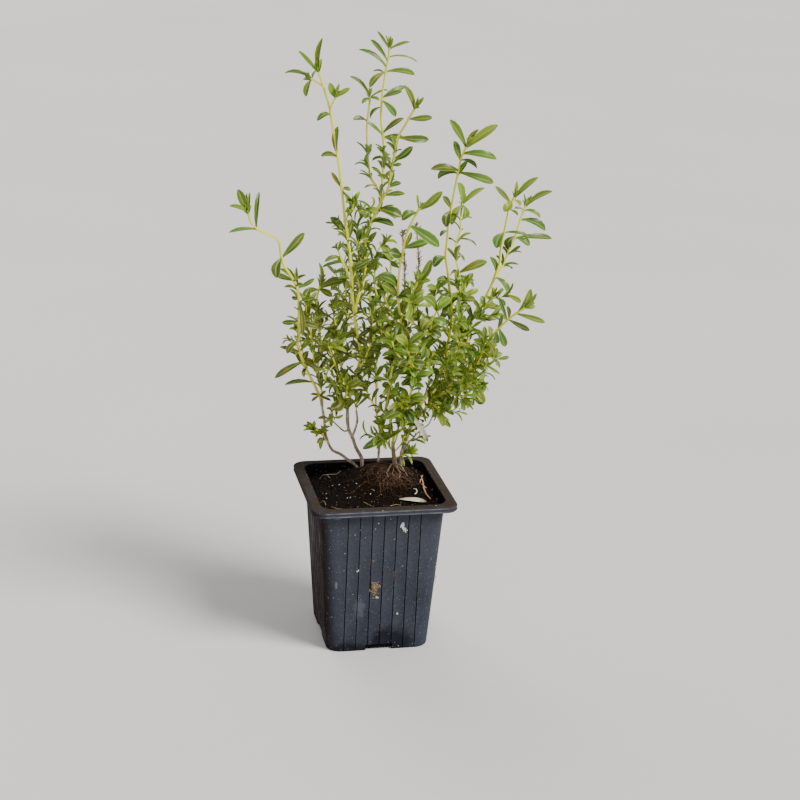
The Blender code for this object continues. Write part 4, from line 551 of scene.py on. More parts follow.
# Scraps on the soil: radius, and route as x, y and height over the soil
SCRAPS = (
    ("straws", "straw", (
        (0.22, [(-34, -10, 0.6), (-33, -13, 1.0), (-33, -17, 0.5)]),
        (0.22, [(-9, -15, 0.5), (-7, -20, 0.9), (-6, -23, 0.6)]),
        (0.20, [(-2, -2, 0.6), (-1, -3, 0.9), (0, -4, 0.5)]),
        (0.25, [(37, -17, 0.5), (38, -15, 1.6), (40, -14, 0.8)]),
        (0.20, [(-30, -20, 0.4), (-27, -24, 0.8), (-22, -26, 0.4)]),
        (0.18, [(6, -24, 0.5), (10, -22, 0.9), (13, -23, 0.5)]))),
    ("white_scraps", "white_grain", (
        (0.34, [(25.2, -3.2, 1.0), (26.3, -4.6, 1.4), (26.5, -6.6, 1.5), (25.7, -8.6, 1.3),
                (24.4, -9.4, 0.9)]),
        (0.26, [(-10.3, 4.6, 0.6), (-9.6, 4.9, 0.8)]),
        (0.26, [(-3.5, -7.3, 0.6), (-2.9, -7.1, 0.8)]),
        (0.20, [(-18.2, -8.1, 0.6), (-17.6, -8.0, 0.8)]),
        (0.20, [(-16.3, -8.4, 0.6), (-15.8, -8.1, 0.7)]),
        (0.20, [(-20.3, 9.2, 0.6), (-19.8, 9.5, 0.7)]),
        (0.20, [(-24.5, 10.1, 0.6), (-23.9, 10.1, 0.7)]),
        (0.20, [(-30.0, 0.3, 0.6), (-29.5, 0.6, 0.7)]),
        (0.20, [(-31.2, -7.2, 0.6), (-30.6, -7.4, 0.7)]))),
    ("orange_scrap", "pink_twig", (
        (0.55, [(37.2, -2.6, 0.7), (38.6, -1.6, 1.1)]),
        (0.3, [(31.5, 2.5, 0.8), (33.5, -1.5, 1.4)]))),
    ("loose_rootlets", "pale_root", (
        (0.22, [(-30, 25, 0.5), (-28, 24, 3.0), (-26, 22, 3.5), (-24, 21, 0.5)]),
        (0.22, [(-28, 24, 3.0), (-24, 23, 2.0), (-19, 25, 1.0), (-16, 27, 2.0)]),
        (0.18, [(10.5, 5.5, 0.6), (9.8, 8.0, 1.2), (11, 10, 1.5), (13.5, 12, 2.2)]),
        (0.16, [(17.5, 5.5, 0.6), (18.6, 8, 1.0), (18.2, 10, 1.5), (16.5, 12, 2.4)]),
        (0.15, [(14.2, 6.0, 0.5), (13.4, 8, 0.9), (14.6, 10, 1.4), (15.2, 12, 2.2)]),
        (0.16, [(23.5, 9.0, 0.6), (22.5, 11, 1.0), (20, 12.5, 1.6), (18, 14, 2.4)]))),
)

# The fallen twig's trunk and forks: radii, and route as for the scraps
FALLEN_TWIG = (
    ((0.35, 0.45, 0.5, 0.42, 0.25), [(33.1, 11.8, 1.6), (32.6, 4.0, 1.5), (31.9, -2.0, 1.4),
                                     (31.8, -9.0, 1.5), (33.0, -16.5, 1.4)]),
    ((0.3, 0.28, 0.18), [(32.9, 9.0, 1.6), (31.2, 6.0, 2.0), (30.4, 2.5, 1.7)]),
    ((0.3, 0.2), [(33.0, 10.5, 1.6), (34.6, 13.5, 2.0)]),
)

# Dirt on the front: its place across and up, its spread both ways, how many crumbs, their size
DIRT = (
    ("dirt_brown", "dry_earth", (
        (-4.6, 45.0, 1.3, 2.0, 60, 1.3), (-4.3, 40.0, 1.0, 1.6, 26, 1.0),
        (-6.0, 62.8, 1.4, 0.8, 5, 0.5), (7.6, 51.6, 0.5, 4.5, 8, 0.5),
        (33.6, 53.0, 0.3, 3.4, 9, 0.7))),
    ("dirt_white", "white_grain", (
        (-2.6, 36.8, 0.6, 0.5, 5, 0.9), (11.2, 86.0, 0.6, 1.0, 22, 1.0),
        (12.6, 82.6, 0.6, 0.9, 18, 0.9), (10.5, 24.9, 0.3, 0.3, 4, 0.9),
        (-15.4, 56.5, 0.4, 0.3, 3, 0.7), (-4.6, 45.5, 1.0, 1.6, 14, 0.7),
        (33.8, 57.0, 0.2, 0.5, 3, 0.6))),
)

# Marks on the front: their place across and up, their size, their tone and how strong they are
PLASTIC_SMEARS = (
    (12, 84, (1.6, 3, 3.2), (0.72, 0.72, 0.68), 0.9),
    (-28.8, 92.5, (4.5, 3, 1.6), (0.10, 0.13, 0.12), 0.8),
    (7.6, 51, (1.0, 3, 9.0), (0.16, 0.085, 0.055), 0.7),
    (-6, 62.8, (3.0, 3, 1.8), (0.15, 0.11, 0.09), 0.7),
    (-28.5, 47, (1.8, 4, 5.0), (0.20, 0.20, 0.21), 0.7),
    (-14, 30, (7.0, 4, 14.0), (0.10, 0.115, 0.15), 0.5),
    (-15.5, 56, (1.0, 3, 1.2), (0.60, 0.60, 0.60), 0.9),
    (10.5, 25, (0.9, 3, 1.0), (0.78, 0.78, 0.78), 1.0),
)

# The damp foot: places and sizes. Specks on the plastic: scale, size, share and tone.
DAMP = (((6, -33, 1), (22, 12, 21)), ((-20, -33, -1), (18, 12, 11)))
PLASTIC_SPECKS = ((330.0, 0.13, 0.16, (0.24, 0.25, 0.27)), (700.0, 0.22, 0.20, (0.12, 0.125, 0.145)),
                  (260.0, 0.10, 0.05, (0.50, 0.50, 0.49)))

# Plain stuffs: tone and roughness
PLAIN = {"pale_root": ((0.36, 0.26, 0.165), 0.6), "pale_grain": ((0.38, 0.385, 0.39), 0.6),
         "straw": ((0.34, 0.25, 0.14), 0.7), "pink_twig": ((0.50, 0.28, 0.18), 0.6),
         "dry_earth": ((0.24, 0.155, 0.095), 0.9), "white_grain": ((0.70, 0.69, 0.65), 0.6)}

FINE_GREY = (0.16, 0.17, 0.19)
# Lighter tone towards the top of the pot
UPPER_TONE = (0.085, 0.090, 0.108)
# Painted shade in the pot's grooves
GROOVE_SHADE = (0.005, 0.005, 0.007)
# Painted highlight on the groove edges and the lip's beads
EDGE_HIGHLIGHT = (0.17, 0.175, 0.20)
# Painted shade and brown reflection on the pot's left side
LEFT_SIDE_SHADE = (0.016, 0.0062, 0.0016)
DAMP_DARK = (0.008, 0.0085, 0.013)
# Painted shade on the pot's inner walls
INSIDE_SHADE = (0.0040, 0.0028, 0.0020)
SOIL_SPECK = (0.28, 0.26, 0.22)
RIB = (0.58, 0.63, 0.10)
LIGHT_BARK = (0.76, 0.63, 0.50)
LIGHT_STALK = (0.55, 0.42, 0.31)
BROWN_END = (0.20, 0.11, 0.055)

# Lights: name, the strength's setting, place, spread and colour
LIGHTS = (("key_light", "key", (0.9, -0.75, 1.25), 26, (1.0, 0.97, 0.92)),
          ("fill_light", "fill", (-0.6, -1.2, 0.7), 60, (0.93, 0.96, 1.0)),
          ("back_light", "back", (-0.3, 1.2, 1.2), 40, (1.0, 0.98, 0.94)))
SKY = (0.97, 0.98, 1.0, 1.0)
LIT_POINT = Vector((0.0, 0.0, 0.18))
FLOOR_REACH = 6.0
SENSOR = 36.0


class SavoryPotSettings(bpy.types.PropertyGroup):
    height: FloatProperty(name="Height", description="From the foot to the top of the rim",
                          default=POT_HIGH.z, unit="LENGTH")
    rim_half: FloatProperty(name="Rim half width", description="Outside, between two sides",
                            default=POT_HIGH.x - BEAD_OUT, unit="LENGTH")
    opening_half: FloatProperty(name="Opening half width", description="At the top of the rim",
                                default=39.3 * MM, unit="LENGTH")
    body_top_half: FloatProperty(name="Body half width, top", description="Just under the lip",
                                 default=38.6 * MM, unit="LENGTH")
    body_foot_half: FloatProperty(name="Body half width, foot", description="At the foot",
                                  default=32.3 * MM, unit="LENGTH")
    groove_pitch: FloatProperty(name="Groove pitch", description="Between two grooves of a side",
                                default=7.5 * MM, unit="LENGTH")
    groove_deep: FloatProperty(name="Groove depth", description="Depth of a groove",
                               default=0.5 * MM, unit="LENGTH")
    plastic: FloatVectorProperty(name="Plastic", description="Colour of the clean plastic",
                                 default=(0.027, 0.031, 0.044), subtype="COLOR")
    dust: FloatVectorProperty(name="Dust", description="Colour of the earth that clings to it",
                              default=(0.045, 0.032, 0.021), subtype="COLOR")


class SavorySoilSettings(bpy.types.PropertyGroup):
    edge_height: FloatProperty(name="Edge height", description="The soil's height at the pot's wall",
                               default=92.6 * MM, unit="LENGTH")
    heap_tall: FloatProperty(name="Heap", description="How far the soil is heaped at the stems",
                             default=12.5 * MM, unit="LENGTH")
    peat: FloatVectorProperty(name="Peat", description="Colour of the wet peat",
                              default=(0.0040, 0.0026, 0.0016), subtype="COLOR")
    loam: FloatVectorProperty(name="Loam", description="Colour of the drier heap",
                              default=(0.020, 0.0105, 0.0058), subtype="COLOR")
    root: FloatVectorProperty(name="Roots", description="Colour of roots and fibres",
                              default=(0.13, 0.070, 0.040), subtype="COLOR")
    crumbs: IntProperty(name="Crumbs", description="Crumbs of peat on a square metre", default=170000)
    fibres: IntProperty(name="Fibres", description="Short fibres on a square metre", default=34000)
    grains: IntProperty(name="Grains", description="Pale grains on a square metre", default=30000)


class SavoryPlantSettings(bpy.types.PropertyGroup):
    young_leaf: FloatVectorProperty(name="Young leaf", description="Colour at the shoots' tips",
                                    default=(0.215, 0.335, 0.022), subtype="COLOR")
    grown_leaf: FloatVectorProperty(name="Grown leaf", description="Colour of full-grown leaves",
                                    default=(0.064, 0.142, 0.018), subtype="COLOR")
    olive_leaf: FloatVectorProperty(name="Olive leaf", description="Colour of weathered leaves",
                                    default=(0.25, 0.215, 0.016), subtype="COLOR")
    under_leaf: FloatVectorProperty(name="Leaf below", description="Colour of a leaf's lower side",
                                    default=(0.20, 0.28, 0.045), subtype="COLOR")
    young_stem: FloatVectorProperty(name="Young stem", description="Colour near the tips",
                                    default=(0.80, 0.84, 0.045), subtype="COLOR")
    grown_stem: FloatVectorProperty(name="Grown stem", description="Colour near the wood",
                                    default=(0.90, 0.85, 0.10), subtype="COLOR")
    bark: FloatVectorProperty(name="Bark", description="Colour of the woody stems",
                              default=(0.52, 0.39, 0.27), subtype="COLOR")
    dead: FloatVectorProperty(name="Dead stalk", description="Colour of last year's stalks",
                              default=(0.30, 0.21, 0.15), subtype="COLOR")
    pale: FloatVectorProperty(name="Withered leaf", description="Colour of withered leaves",
                              default=(0.86, 0.76, 0.60), subtype="COLOR")
    leaf_thick: FloatProperty(name="Leaf thickness", description="Thickness by a leaf's length",
                              default=0.035)


class SavoryStageSettings(bpy.types.PropertyGroup):
    lens: FloatProperty(name="Focal length", description="On the camera's 36 mm sensor", default=80.55)
    distance: FloatProperty(name="Distance", description="From the camera to the point it aims at",
                            default=1.105, unit="LENGTH")
    aim: FloatVectorProperty(name="Aim", description="The point that the camera aims at",
                             default=(0.015, 0.0, 0.1538), subtype="TRANSLATION")
    yaw: FloatProperty(name="Yaw", description="Turn of the camera round the pot",
                       default=math.radians(-12.37), subtype="ANGLE")
    elevation: FloatProperty(name="Elevation", description="Height of the camera as an angle",
                             default=math.radians(18.77), subtype="ANGLE")
    roll: FloatProperty(name="Roll", description="Tilt of the camera about its view",
                        default=math.radians(2.06), subtype="ANGLE")
    key: FloatProperty(name="Key light", description="Strength of the light from the right",
                       default=4.3)
    fill: FloatProperty(name="Fill light", description="Strength of the light in front", default=0.35)
    back: FloatProperty(name="Back light", description="Strength of the light from behind", default=1.0)
    sky: FloatProperty(name="Sky", description="Strength of the light from all round", default=0.32)
    floor: FloatVectorProperty(name="Floor", description="Colour of the floor",
                               default=(0.80, 0.79, 0.77), subtype="COLOR")


SETTINGS = {"savory_pot": SavoryPotSettings, "savory_soil": SavorySoilSettings,
            "savory_plant": SavoryPlantSettings, "savory_stage": SavoryStageSettings}


def add(tree, kind, inputs=None, **settings):
    """A node with its settings, its inputs linked or set by name or number."""
    node = tree.nodes.new(kind)
    for key, value in settings.items():
        setattr(node, key, value)
    for key, value in (inputs or {}).items():
        socket = (node.inputs[key] if isinstance(key, int)
                  else next(each for each in node.inputs if each.name == key and each.enabled))
        if isinstance(value, bpy.types.Node):
            value = out(value)
        if isinstance(value, bpy.types.NodeSocket):
            tree.links.new(value, socket)
        else:
            socket.default_value = value
    return node


def out(node, name=None):
    """A node's output of that name, or its first one."""
    return next(each for each in node.outputs if each.enabled and name in (None, each.name))


def math_node(tree, operation, *values):
    return out(add(tree, "ShaderNodeMath", dict(enumerate(values)), operation=operation))


def vector_node(tree, operation, *values):
    return out(add(tree, "ShaderNodeVectorMath", dict(enumerate(values)), operation=operation))


def map_range(tree, value, low, high, start=0.0, end=1.0, **settings):
    """A value mapped from low..high to start..end, without passing them."""
    return out(add(tree, "ShaderNodeMapRange", {"Value": value, "From Min": low, "From Max": high,
                                                "To Min": start, "To Max": end}, **settings))


FLOAT = "NodeSocketFloat"
VECTOR = "NodeSocketVector"
GEOMETRY = "NodeSocketGeometry"
COLLECTION = "NodeSocketCollection"
MATERIAL = "NodeSocketMaterial"


def new_group(name, kind, inputs, output):
    """A node tree with named inputs, each with its type or default: it, its inputs and its end."""
    group = bpy.data.node_groups.new(name, kind)
    for label, value in inputs.items():
        typed = isinstance(value, str)
        number = "NodeSocketInt" if isinstance(value, int) else FLOAT
        socket = group.interface.new_socket(label, in_out="INPUT",
                                            socket_type=value if typed else number)
        if not typed:
            socket.default_value = value
    group.interface.new_socket(output[0], in_out="OUTPUT", socket_type=output[1])
    given = group.nodes.new("NodeGroupInput").outputs
    return group, given, group.nodes.new("NodeGroupOutput").inputs[0]


def patches_group():
    """Soft patches: a mask from noise, from 0 below Low to 1 above High."""
    group, given, end = new_group("Patches", "ShaderNodeTree",
        {"Vector": VECTOR, "Scale": 100.0, "Detail": 3.0, "Low": 0.4, "High": 0.6}, ("Mask", FLOAT))
    cloud = add(group, "ShaderNodeTexNoise",
                {label: given[label] for label in ("Vector", "Scale", "Detail")})
    group.links.new(map_range(group, cloud, given["Low"], given["High"],
                              interpolation_type="SMOOTHSTEP"), end)


def specks_group():
    """Small round specks: Size is by the cell, and Share how many cells have one."""
    group, given, end = new_group("Specks", "ShaderNodeTree",
        {"Vector": VECTOR, "Scale": 300.0, "Size": 0.15, "Share": 0.3}, ("Mask", FLOAT))
    cells = add(group, "ShaderNodeTexVoronoi", {"Vector": given["Vector"], "Scale": given["Scale"]})
    near = math_node(group, "LESS_THAN", out(cells, "Distance"), given["Size"])
    lot = add(group, "ShaderNodeSeparateColor", {"Color": out(cells, "Color")})
    drawn = math_node(group, "LESS_THAN", lot, given["Share"])
    group.links.new(math_node(group, "MULTIPLY", near, drawn), end)


def smear_group():
    """A smear about a place, with a ragged edge."""
    group, given, end = new_group("Smear", "ShaderNodeTree",
        {"Vector": VECTOR, "Place": VECTOR, "Size": VECTOR, "Ragged": 0.5, "Scale": 500.0},
        ("Mask", FLOAT))
    offset = vector_node(group, "SUBTRACT", given["Vector"], given["Place"])
    away = vector_node(group, "LENGTH", vector_node(group, "DIVIDE", offset, given["Size"]))
    cloud = add(group, "ShaderNodeTexNoise", {"Vector": given["Vector"], "Scale": given["Scale"]})
    ragged = math_node(group, "MULTIPLY_ADD", cloud, given["Ragged"], away)
    group.links.new(map_range(group, ragged, 1.15, 0.75, interpolation_type="SMOOTHSTEP"), end)


def toned(color, factor):
    return [min(factor * part, 1.0) for part in color]


class Look:
    """A material as it is made: its tree, shader, Object coordinates and the colour so far."""

    def __init__(self, name, roughness, coat=0.0, specular=0.5):
        material = bpy.data.materials.new(name)
        material.use_nodes = True
        self.tree = material.node_tree
        self.shader = self.tree.nodes["Principled BSDF"].inputs
        self.shader["Roughness"].default_value = roughness
        self.shader["Coat Weight"].default_value = coat
        self.shader["Specular IOR Level"].default_value = specular
        self.coords = out(self.add("ShaderNodeTexCoord"), "Object")
        self.color = None

    def add(self, kind, inputs=None, **settings):
        return add(self.tree, kind, inputs, **settings)

    def effect(self, name, vector=None, **inputs):
        """A shared effect's mask, on Object coordinates or on another vector."""
        inputs["Vector"] = self.coords if vector is None else vector
        return out(self.add("ShaderNodeGroup", inputs, node_tree=bpy.data.node_groups[name]))

    def patches(self, scale, detail, low, high, vector=None):
        return self.effect("Patches", vector, Scale=scale, Detail=detail, Low=low, High=high)

    def math(self, operation, *values):
        return math_node(self.tree, operation, *values)

    def times(self, first, second):
        return self.math("MULTIPLY", first, second)

    def remap(self, value, low, high, start=0.0, end=1.0):
        return map_range(self.tree, value, low, high, start, end)

    def parts(self, vector):
        return self.add("ShaderNodeSeparateXYZ", {"Vector": vector}).outputs

    def attribute(self, name):
        return out(self.add("ShaderNodeAttribute", attribute_name=name), "Fac")

    def mix(self, factor, first, second):
        """The mix of two colours, each a colour or a socket."""
        first, second = (side if isinstance(side, bpy.types.NodeSocket) else (*side[:3], 1.0)
                         for side in (first, second))
        return out(self.add("ShaderNodeMix", {"Factor": factor, "A": first, "B": second},
                            data_type="RGBA"))

    def paint(self, factor, color):
        """Lay a colour over the one so far."""
        self.color = self.mix(factor, self.color, color)

    def finish(self, roughness=None, height=None, strength=0.3, distance=0.2 * MM):
        """Link the colour, a roughness and a height for bumps to the shader."""
        self.tree.links.new(self.color, self.shader["Base Color"])
        if roughness is not None:
            self.tree.links.new(roughness, self.shader["Roughness"])
        if height is not None:
            bump = self.add("ShaderNodeBump", {"Height": height, "Strength": strength,
                                               "Distance": distance})
            self.tree.links.new(out(bump), self.shader["Normal"])


def plastic_material():
    """Dark blue-grey plastic, lighter towards the top, with dust, dried smears and a damp foot; painted
    shade in its grooves and inside, painted shade and brown reflection on its left side, and painted
    highlights on its groove edges and beads.
    """
    pot = bpy.context.scene.savory_pot
    look = Look("nursery_plastic", 0.5, specular=0.02)
    cloud = look.patches(45.0, 6.0, 0.3, 0.75)
    look.color = look.mix(cloud, pot.plastic, toned(pot.plastic, 1.5))
    look.paint(look.times(look.patches(700.0, 4.0, 0.35, 0.8), 0.14), FINE_GREY)
    # Lighter towards the top
    look.paint(look.remap(look.parts(look.coords)["Z"], 25 * MM, 90 * MM, 0.0, 0.30), UPPER_TONE)
    trim = look.attribute("trim")
    # Painted shade in the grooves
    look.paint(look.remap(trim, -0.1, -0.8, 0.0, 0.85), GROOVE_SHADE)
    # Patches that vary both the painted highlights on the groove edges and beads, and the dust on top
    dust_and_highlight_patches = look.patches(160.0, 5.0, 0.35, 0.7)
    look.paint(look.times(look.remap(trim, 0.3, 1.0), look.remap(dust_and_highlight_patches, 0, 1, 0.25, 0.75)), EDGE_HIGHLIGHT)
    facing = out(look.add("ShaderNodeNewGeometry"), "Normal")
    normal = look.parts(facing)
    # Painted shade and brown reflection on the faces that look left
    look.paint(look.times(look.remap(normal["X"], -0.45, -0.95), look.remap(cloud, 0, 1, 0.85, 1.0)),
               LEFT_SIDE_SHADE)
    up = look.remap(normal["Z"], 0.5, 0.95)
    look.paint(look.times(up, look.remap(dust_and_highlight_patches, 0, 1, 0.7, 1.0)), pot.dust)
    for place, size in DAMP:
        damp = look.effect("Smear", Place=Vector(place) * MM, Size=Vector(size) * MM, Ragged=0.6,
                           Scale=130.0)
        look.paint(look.times(damp, 0.8), DAMP_DARK)
    # Painted shade on the inner walls, the faces that look towards the pot's axis
    outward = vector_node(look.tree, "MULTIPLY", look.coords, (1.0, 1.0, 0.0))
    inside = vector_node(look.tree, "DOT_PRODUCT", outward, facing)
    look.paint(look.remap(inside, -0.01, -0.03, 0.0, 0.92), INSIDE_SHADE)
    for x, z, size, tone, amount in PLASTIC_SMEARS:
        place = Vector((x * MM, -body_half(z * MM), z * MM))
        smear = look.effect("Smear", Place=place, Size=Vector(size) * MM, Ragged=1.1, Scale=420.0)
        look.paint(look.times(smear, amount), tone)
    for scale, size, share, tone in PLASTIC_SPECKS:
        look.paint(look.effect("Specks", Scale=scale, Size=size, Share=share), tone)
    rough = look.remap(look.math("ADD", cloud, up), 0.0, 2.0, 0.40, 0.85)
    look.finish(rough, look.patches(1600.0, 2.0, 0.2, 0.8), 0.10, 0.1 * MM)


def soil_material():
    """Wet peat, drier and redder on the heap, with pale mineral specks."""
    soil = bpy.context.scene.savory_soil
    look = Look("soil_peat", 0.9, specular=0.04)
    heap = look.remap(look.parts(look.coords)["Z"], soil.edge_height + 1.5 * MM,
                      soil.edge_height + 8.0 * MM)
    ragged = look.patches(260.0, 6.0, 0.3, 0.7)
    look.color = look.mix(look.times(heap, ragged), soil.peat, soil.loam)
    look.paint(look.times(look.patches(900.0, 4.0, 0.45, 0.75), 0.5), toned(soil.loam, 2.4))
    look.paint(look.effect("Specks", Scale=800.0, Size=0.22, Share=0.06), SOIL_SPECK)
    look.finish(look.remap(ragged, 0, 1, 0.6, 0.95), look.patches(1200.0, 5.0, 0.1, 0.9), 0.8, 0.5 * MM)


def plain_material(name, tone, roughness):
    """A matt stuff of one tone with lighter and darker patches, for litter and grains."""
    look = Look(name, roughness, specular=0.2)
    look.color = look.mix(look.patches(600.0, 4.0, 0.25, 0.75), toned(tone, 0.65), toned(tone, 1.35))
    look.finish(None, look.patches(2400.0, 2.0, 0.2, 0.8), 0.4)


def leaf_material():
    """A leaf's skin: lighter along the midrib, at its root and below, yellower when young."""
    plant = bpy.context.scene.savory_plant
    look = Look("leaf_skin", 0.36, coat=0.2, specular=0.3)
    look.shader["Coat Roughness"].default_value = 0.24
    blade = look.parts(look.add("ShaderNodeUVMap", uv_map="blade"))
    across = look.math("ABSOLUTE", look.math("MULTIPLY_ADD", blade["X"], 2.0, -1.0))
    along = blade["Y"]
    age, tint, under = (look.attribute(name) for name in ("age", "tint", "under"))
    cloud = look.patches(140.0, 4.0, 0.35, 0.7)
    grown = look.mix(look.times(cloud, look.remap(tint, 0.3, 1.0, 0.0, 0.7)), plant.grown_leaf,
                     plant.olive_leaf)
    brightness = look.remap(look.math("FRACT", look.times(tint, 7.0)), 0, 1, 0.70, 1.42)
    look.color = out(look.add("ShaderNodeHueSaturation", {
        "Hue": look.remap(tint, 0, 1, 0.512, 0.488), "Value": brightness,
        "Color": look.mix(age, plant.young_leaf, grown)}))
    look.paint(look.remap(across, 0.05, 0.20, 0.42, 0.0), RIB)
    look.paint(look.remap(along, 0.0, 0.3, 0.8, 0.0), plant.young_leaf)
    look.paint(look.remap(across, 0.82, 1.0, 0.0, 0.65), RIB)
    look.paint(look.times(under, 0.55), plant.under_leaf)
    veins = look.math("SINE", look.math("MULTIPLY_ADD", across, -9.0, look.times(along, 42.0)))
    height = look.math("MULTIPLY_ADD", veins, 0.35, look.patches(1500.0, 3.0, 0.2, 0.8))
    rough = look.math("ADD", look.remap(cloud, 0, 1, 0.28, 0.44), look.times(under, 0.25))
    look.finish(rough, height, 0.35, 0.12 * MM)


def stem_material():
    """A green stem's skin: yellow-green near its tip, straw near the wood."""
    plant = bpy.context.scene.savory_plant
    look = Look("stem_skin", 0.5)
    cloud = look.patches(220.0, 4.0, 0.3, 0.7)
    grown = look.remap(look.math("MULTIPLY_ADD", cloud, 0.4, look.attribute("age")), 0.2, 1.2)
    look.color = look.mix(grown, plant.young_stem, plant.grown_stem)
    fine = look.patches(1400.0, 3.0, 0.3, 0.8)
    look.paint(look.times(fine, 0.2), toned(plant.grown_stem, 0.45))
    look.finish(None, fine, 0.25)


def bark_material(name, tone, light):
    """Thin bark in long streaks, flaking to a lighter tone."""
    look = Look(name, 0.85)
    streak = out(look.add("ShaderNodeMapping", {"Vector": look.coords, "Scale": (1.0, 1.0, 0.16)}))
    flakes = look.patches(900.0, 5.0, 0.35, 0.68, streak)
    look.color = look.mix(flakes, toned(tone, 0.5), light)
    look.paint(look.times(look.patches(130.0, 3.0, 0.35, 0.7), 0.6), tone)
    look.finish(None, flakes, 0.8, 0.4 * MM)


def withered_material():
    """A dry leaf: cream in the middle, brown towards its ends, with a veined skin."""
    plant = bpy.context.scene.savory_plant
    look = Look("withered_leaf_skin", 0.75)
    blade = look.parts(look.add("ShaderNodeUVMap", uv_map="blade"))
    cloud = look.patches(500.0, 5.0, 0.3, 0.75)
    look.color = look.mix(cloud, toned(plant.pale, 0.8), plant.pale)
    ends = look.math("ABSOLUTE", look.math("SUBTRACT", blade["Y"], 0.45))
    look.paint(look.remap(look.math("MULTIPLY_ADD", cloud, 0.1, ends), 0.30, 0.56), BROWN_END)
    veins = look.math("SINE", look.times(blade["X"], 30.0))
    look.finish(None, look.math("ADD", veins, cloud), 0.4, 0.12 * MM)


def floor_material():
    """A pale floor with the faintest tone in it."""
    stage = bpy.context.scene.savory_stage
    look = Look("stage_floor", 0.75)
    look.color = look.mix(look.patches(2.5, 3.0, 0.3, 0.7), stage.floor, toned(stage.floor, 0.97))
    look.finish()


def named(tree, name, kind):
    """What a named attribute holds."""
    return out(add(tree, "GeometryNodeInputNamedAttribute", {"Name": name}, data_type=kind))


def finish_tree(tree, geometry, material, end):
    """The end of each tree: Realize Instances and Set Material."""
    real = add(tree, "GeometryNodeRealizeInstances", {"Geometry": geometry})
    skinned = add(tree, "GeometryNodeSetMaterial", {"Geometry": real, "Material": material})
    tree.links.new(out(skinned), end)


def put_patterns(tree, points, patterns, **inputs):
    """One of a collection's objects on each point."""
    parts = add(tree, "GeometryNodeCollectionInfo",
                {"Collection": patterns, "Separate Children": True, "Reset Children": True})
    return add(tree, "GeometryNodeInstanceOnPoints",
               {"Points": points, "Instance": parts, "Pick Instance": True, **inputs})


def stem_tree():
    """Geometry Nodes: a skin round each path, as thick as its radius attribute says."""
    tree, given, end = new_group("Stem round a path", "GeometryNodeTree",
        {"Paths": GEOMETRY, "Sides": 8, "Squareness": 0.16, "Skin": MATERIAL}, ("Geometry", GEOMETRY))
    ring = add(tree, "GeometryNodeCurvePrimitiveCircle", {"Resolution": given["Sides"], "Radius": 1.0})
    odd = math_node(tree, "MODULO", add(tree, "GeometryNodeInputIndex"), 2.0)
    stretch = math_node(tree, "MULTIPLY_ADD", odd, given["Squareness"], 1.0)
    place = add(tree, "ShaderNodeVectorMath",
                {0: add(tree, "GeometryNodeInputPosition"), "Scale": stretch}, operation="SCALE")
    profile = add(tree, "GeometryNodeSetPosition", {"Geometry": ring, "Position": place})
    curve = add(tree, "GeometryNodeMeshToCurve", {0: given["Paths"]})
    tube = add(tree, "GeometryNodeCurveToMesh",
               {"Curve": curve, "Profile Curve": profile, "Scale": named(tree, "radius", "FLOAT"),
                "Fill Caps": True})
    finish_tree(tree, tube, given["Skin"], end)


def leaves_tree():
    """Geometry Nodes: a leaf on each point, turned and sized by the point's attributes."""
    tree, given, end = new_group("Leaves on points", "GeometryNodeTree",
        {"Points": GEOMETRY, "Patterns": COLLECTION, "Skin": MATERIAL}, ("Geometry", GEOMETRY))
    placed = put_patterns(tree, given["Points"], given["Patterns"], **{
        "Instance Index": named(tree, "pattern", "INT"), "Rotation": named(tree, "turn", "QUATERNION"),
        "Scale": named(tree, "size", "FLOAT_VECTOR")})
    finish_tree(tree, placed, given["Skin"], end)


def scatter_tree():
    """Geometry Nodes: bits strewn over a surface, most where its bare attribute is 1."""
    tree, given, end = new_group("Bits on a surface", "GeometryNodeTree",
        {"Surface": GEOMETRY, "Patterns": COLLECTION, "Density": 1000.0, "Smallest": 0.5 * MM,
         "Largest": 1.0 * MM, "Seed": 1, "Skin": MATERIAL}, ("Geometry", GEOMETRY))

    def drawn(kind, low, high):
        return out(add(tree, "FunctionNodeRandomValue",
                       {"Min": low, "Max": high, "Seed": given["Seed"]}, data_type=kind))

    density = math_node(tree, "MULTIPLY", given["Density"], named(tree, "bare", "FLOAT"))
    points = add(tree, "GeometryNodeDistributePointsOnFaces",
                 {"Mesh": given["Surface"], "Density": density, "Seed": given["Seed"]})
    placed = put_patterns(tree, out(points, "Points"), given["Patterns"], **{
        "Instance Index": drawn("INT", 0, BIT_PATTERNS - 1),
        "Rotation": drawn("FLOAT_VECTOR", (0.0,) * 3, (math.tau,) * 3),
        "Scale": drawn("FLOAT", given["Smallest"], given["Largest"])})
    finish_tree(tree, placed, given["Skin"], end)


def new_object(name, points, faces=(), edges=(), materials=()):
    """A mesh object, facing out where it has faces."""
    mesh = bpy.data.meshes.new(name)
    mesh.from_pydata(points, edges, faces)
    if faces:
        body = bmesh.new()
        body.from_mesh(mesh)
        bmesh.ops.recalc_face_normals(body, faces=body.faces)
        body.to_mesh(mesh)
        body.free()
    for material in materials:
        mesh.materials.append(material)
    made = bpy.data.objects.new(name, mesh)
    bpy.context.scene.collection.objects.link(made)
    return made


def keep_result(made):
    """Turn what an object's modifiers make into its plain mesh."""
    graph = bpy.context.evaluated_depsgraph_get()
    mesh = bpy.data.meshes.new_from_object(made.evaluated_get(graph),
                                           preserve_all_data_layers=True, depsgraph=graph)
    made.modifiers.clear()
    old = made.data
    made.data = mesh
    mesh.name = made.name
    bpy.data.meshes.remove(old)
    for index in range(len(mesh.materials) - 1, -1, -1):
        if mesh.materials[index] is None:
            mesh.materials.pop(index=index)


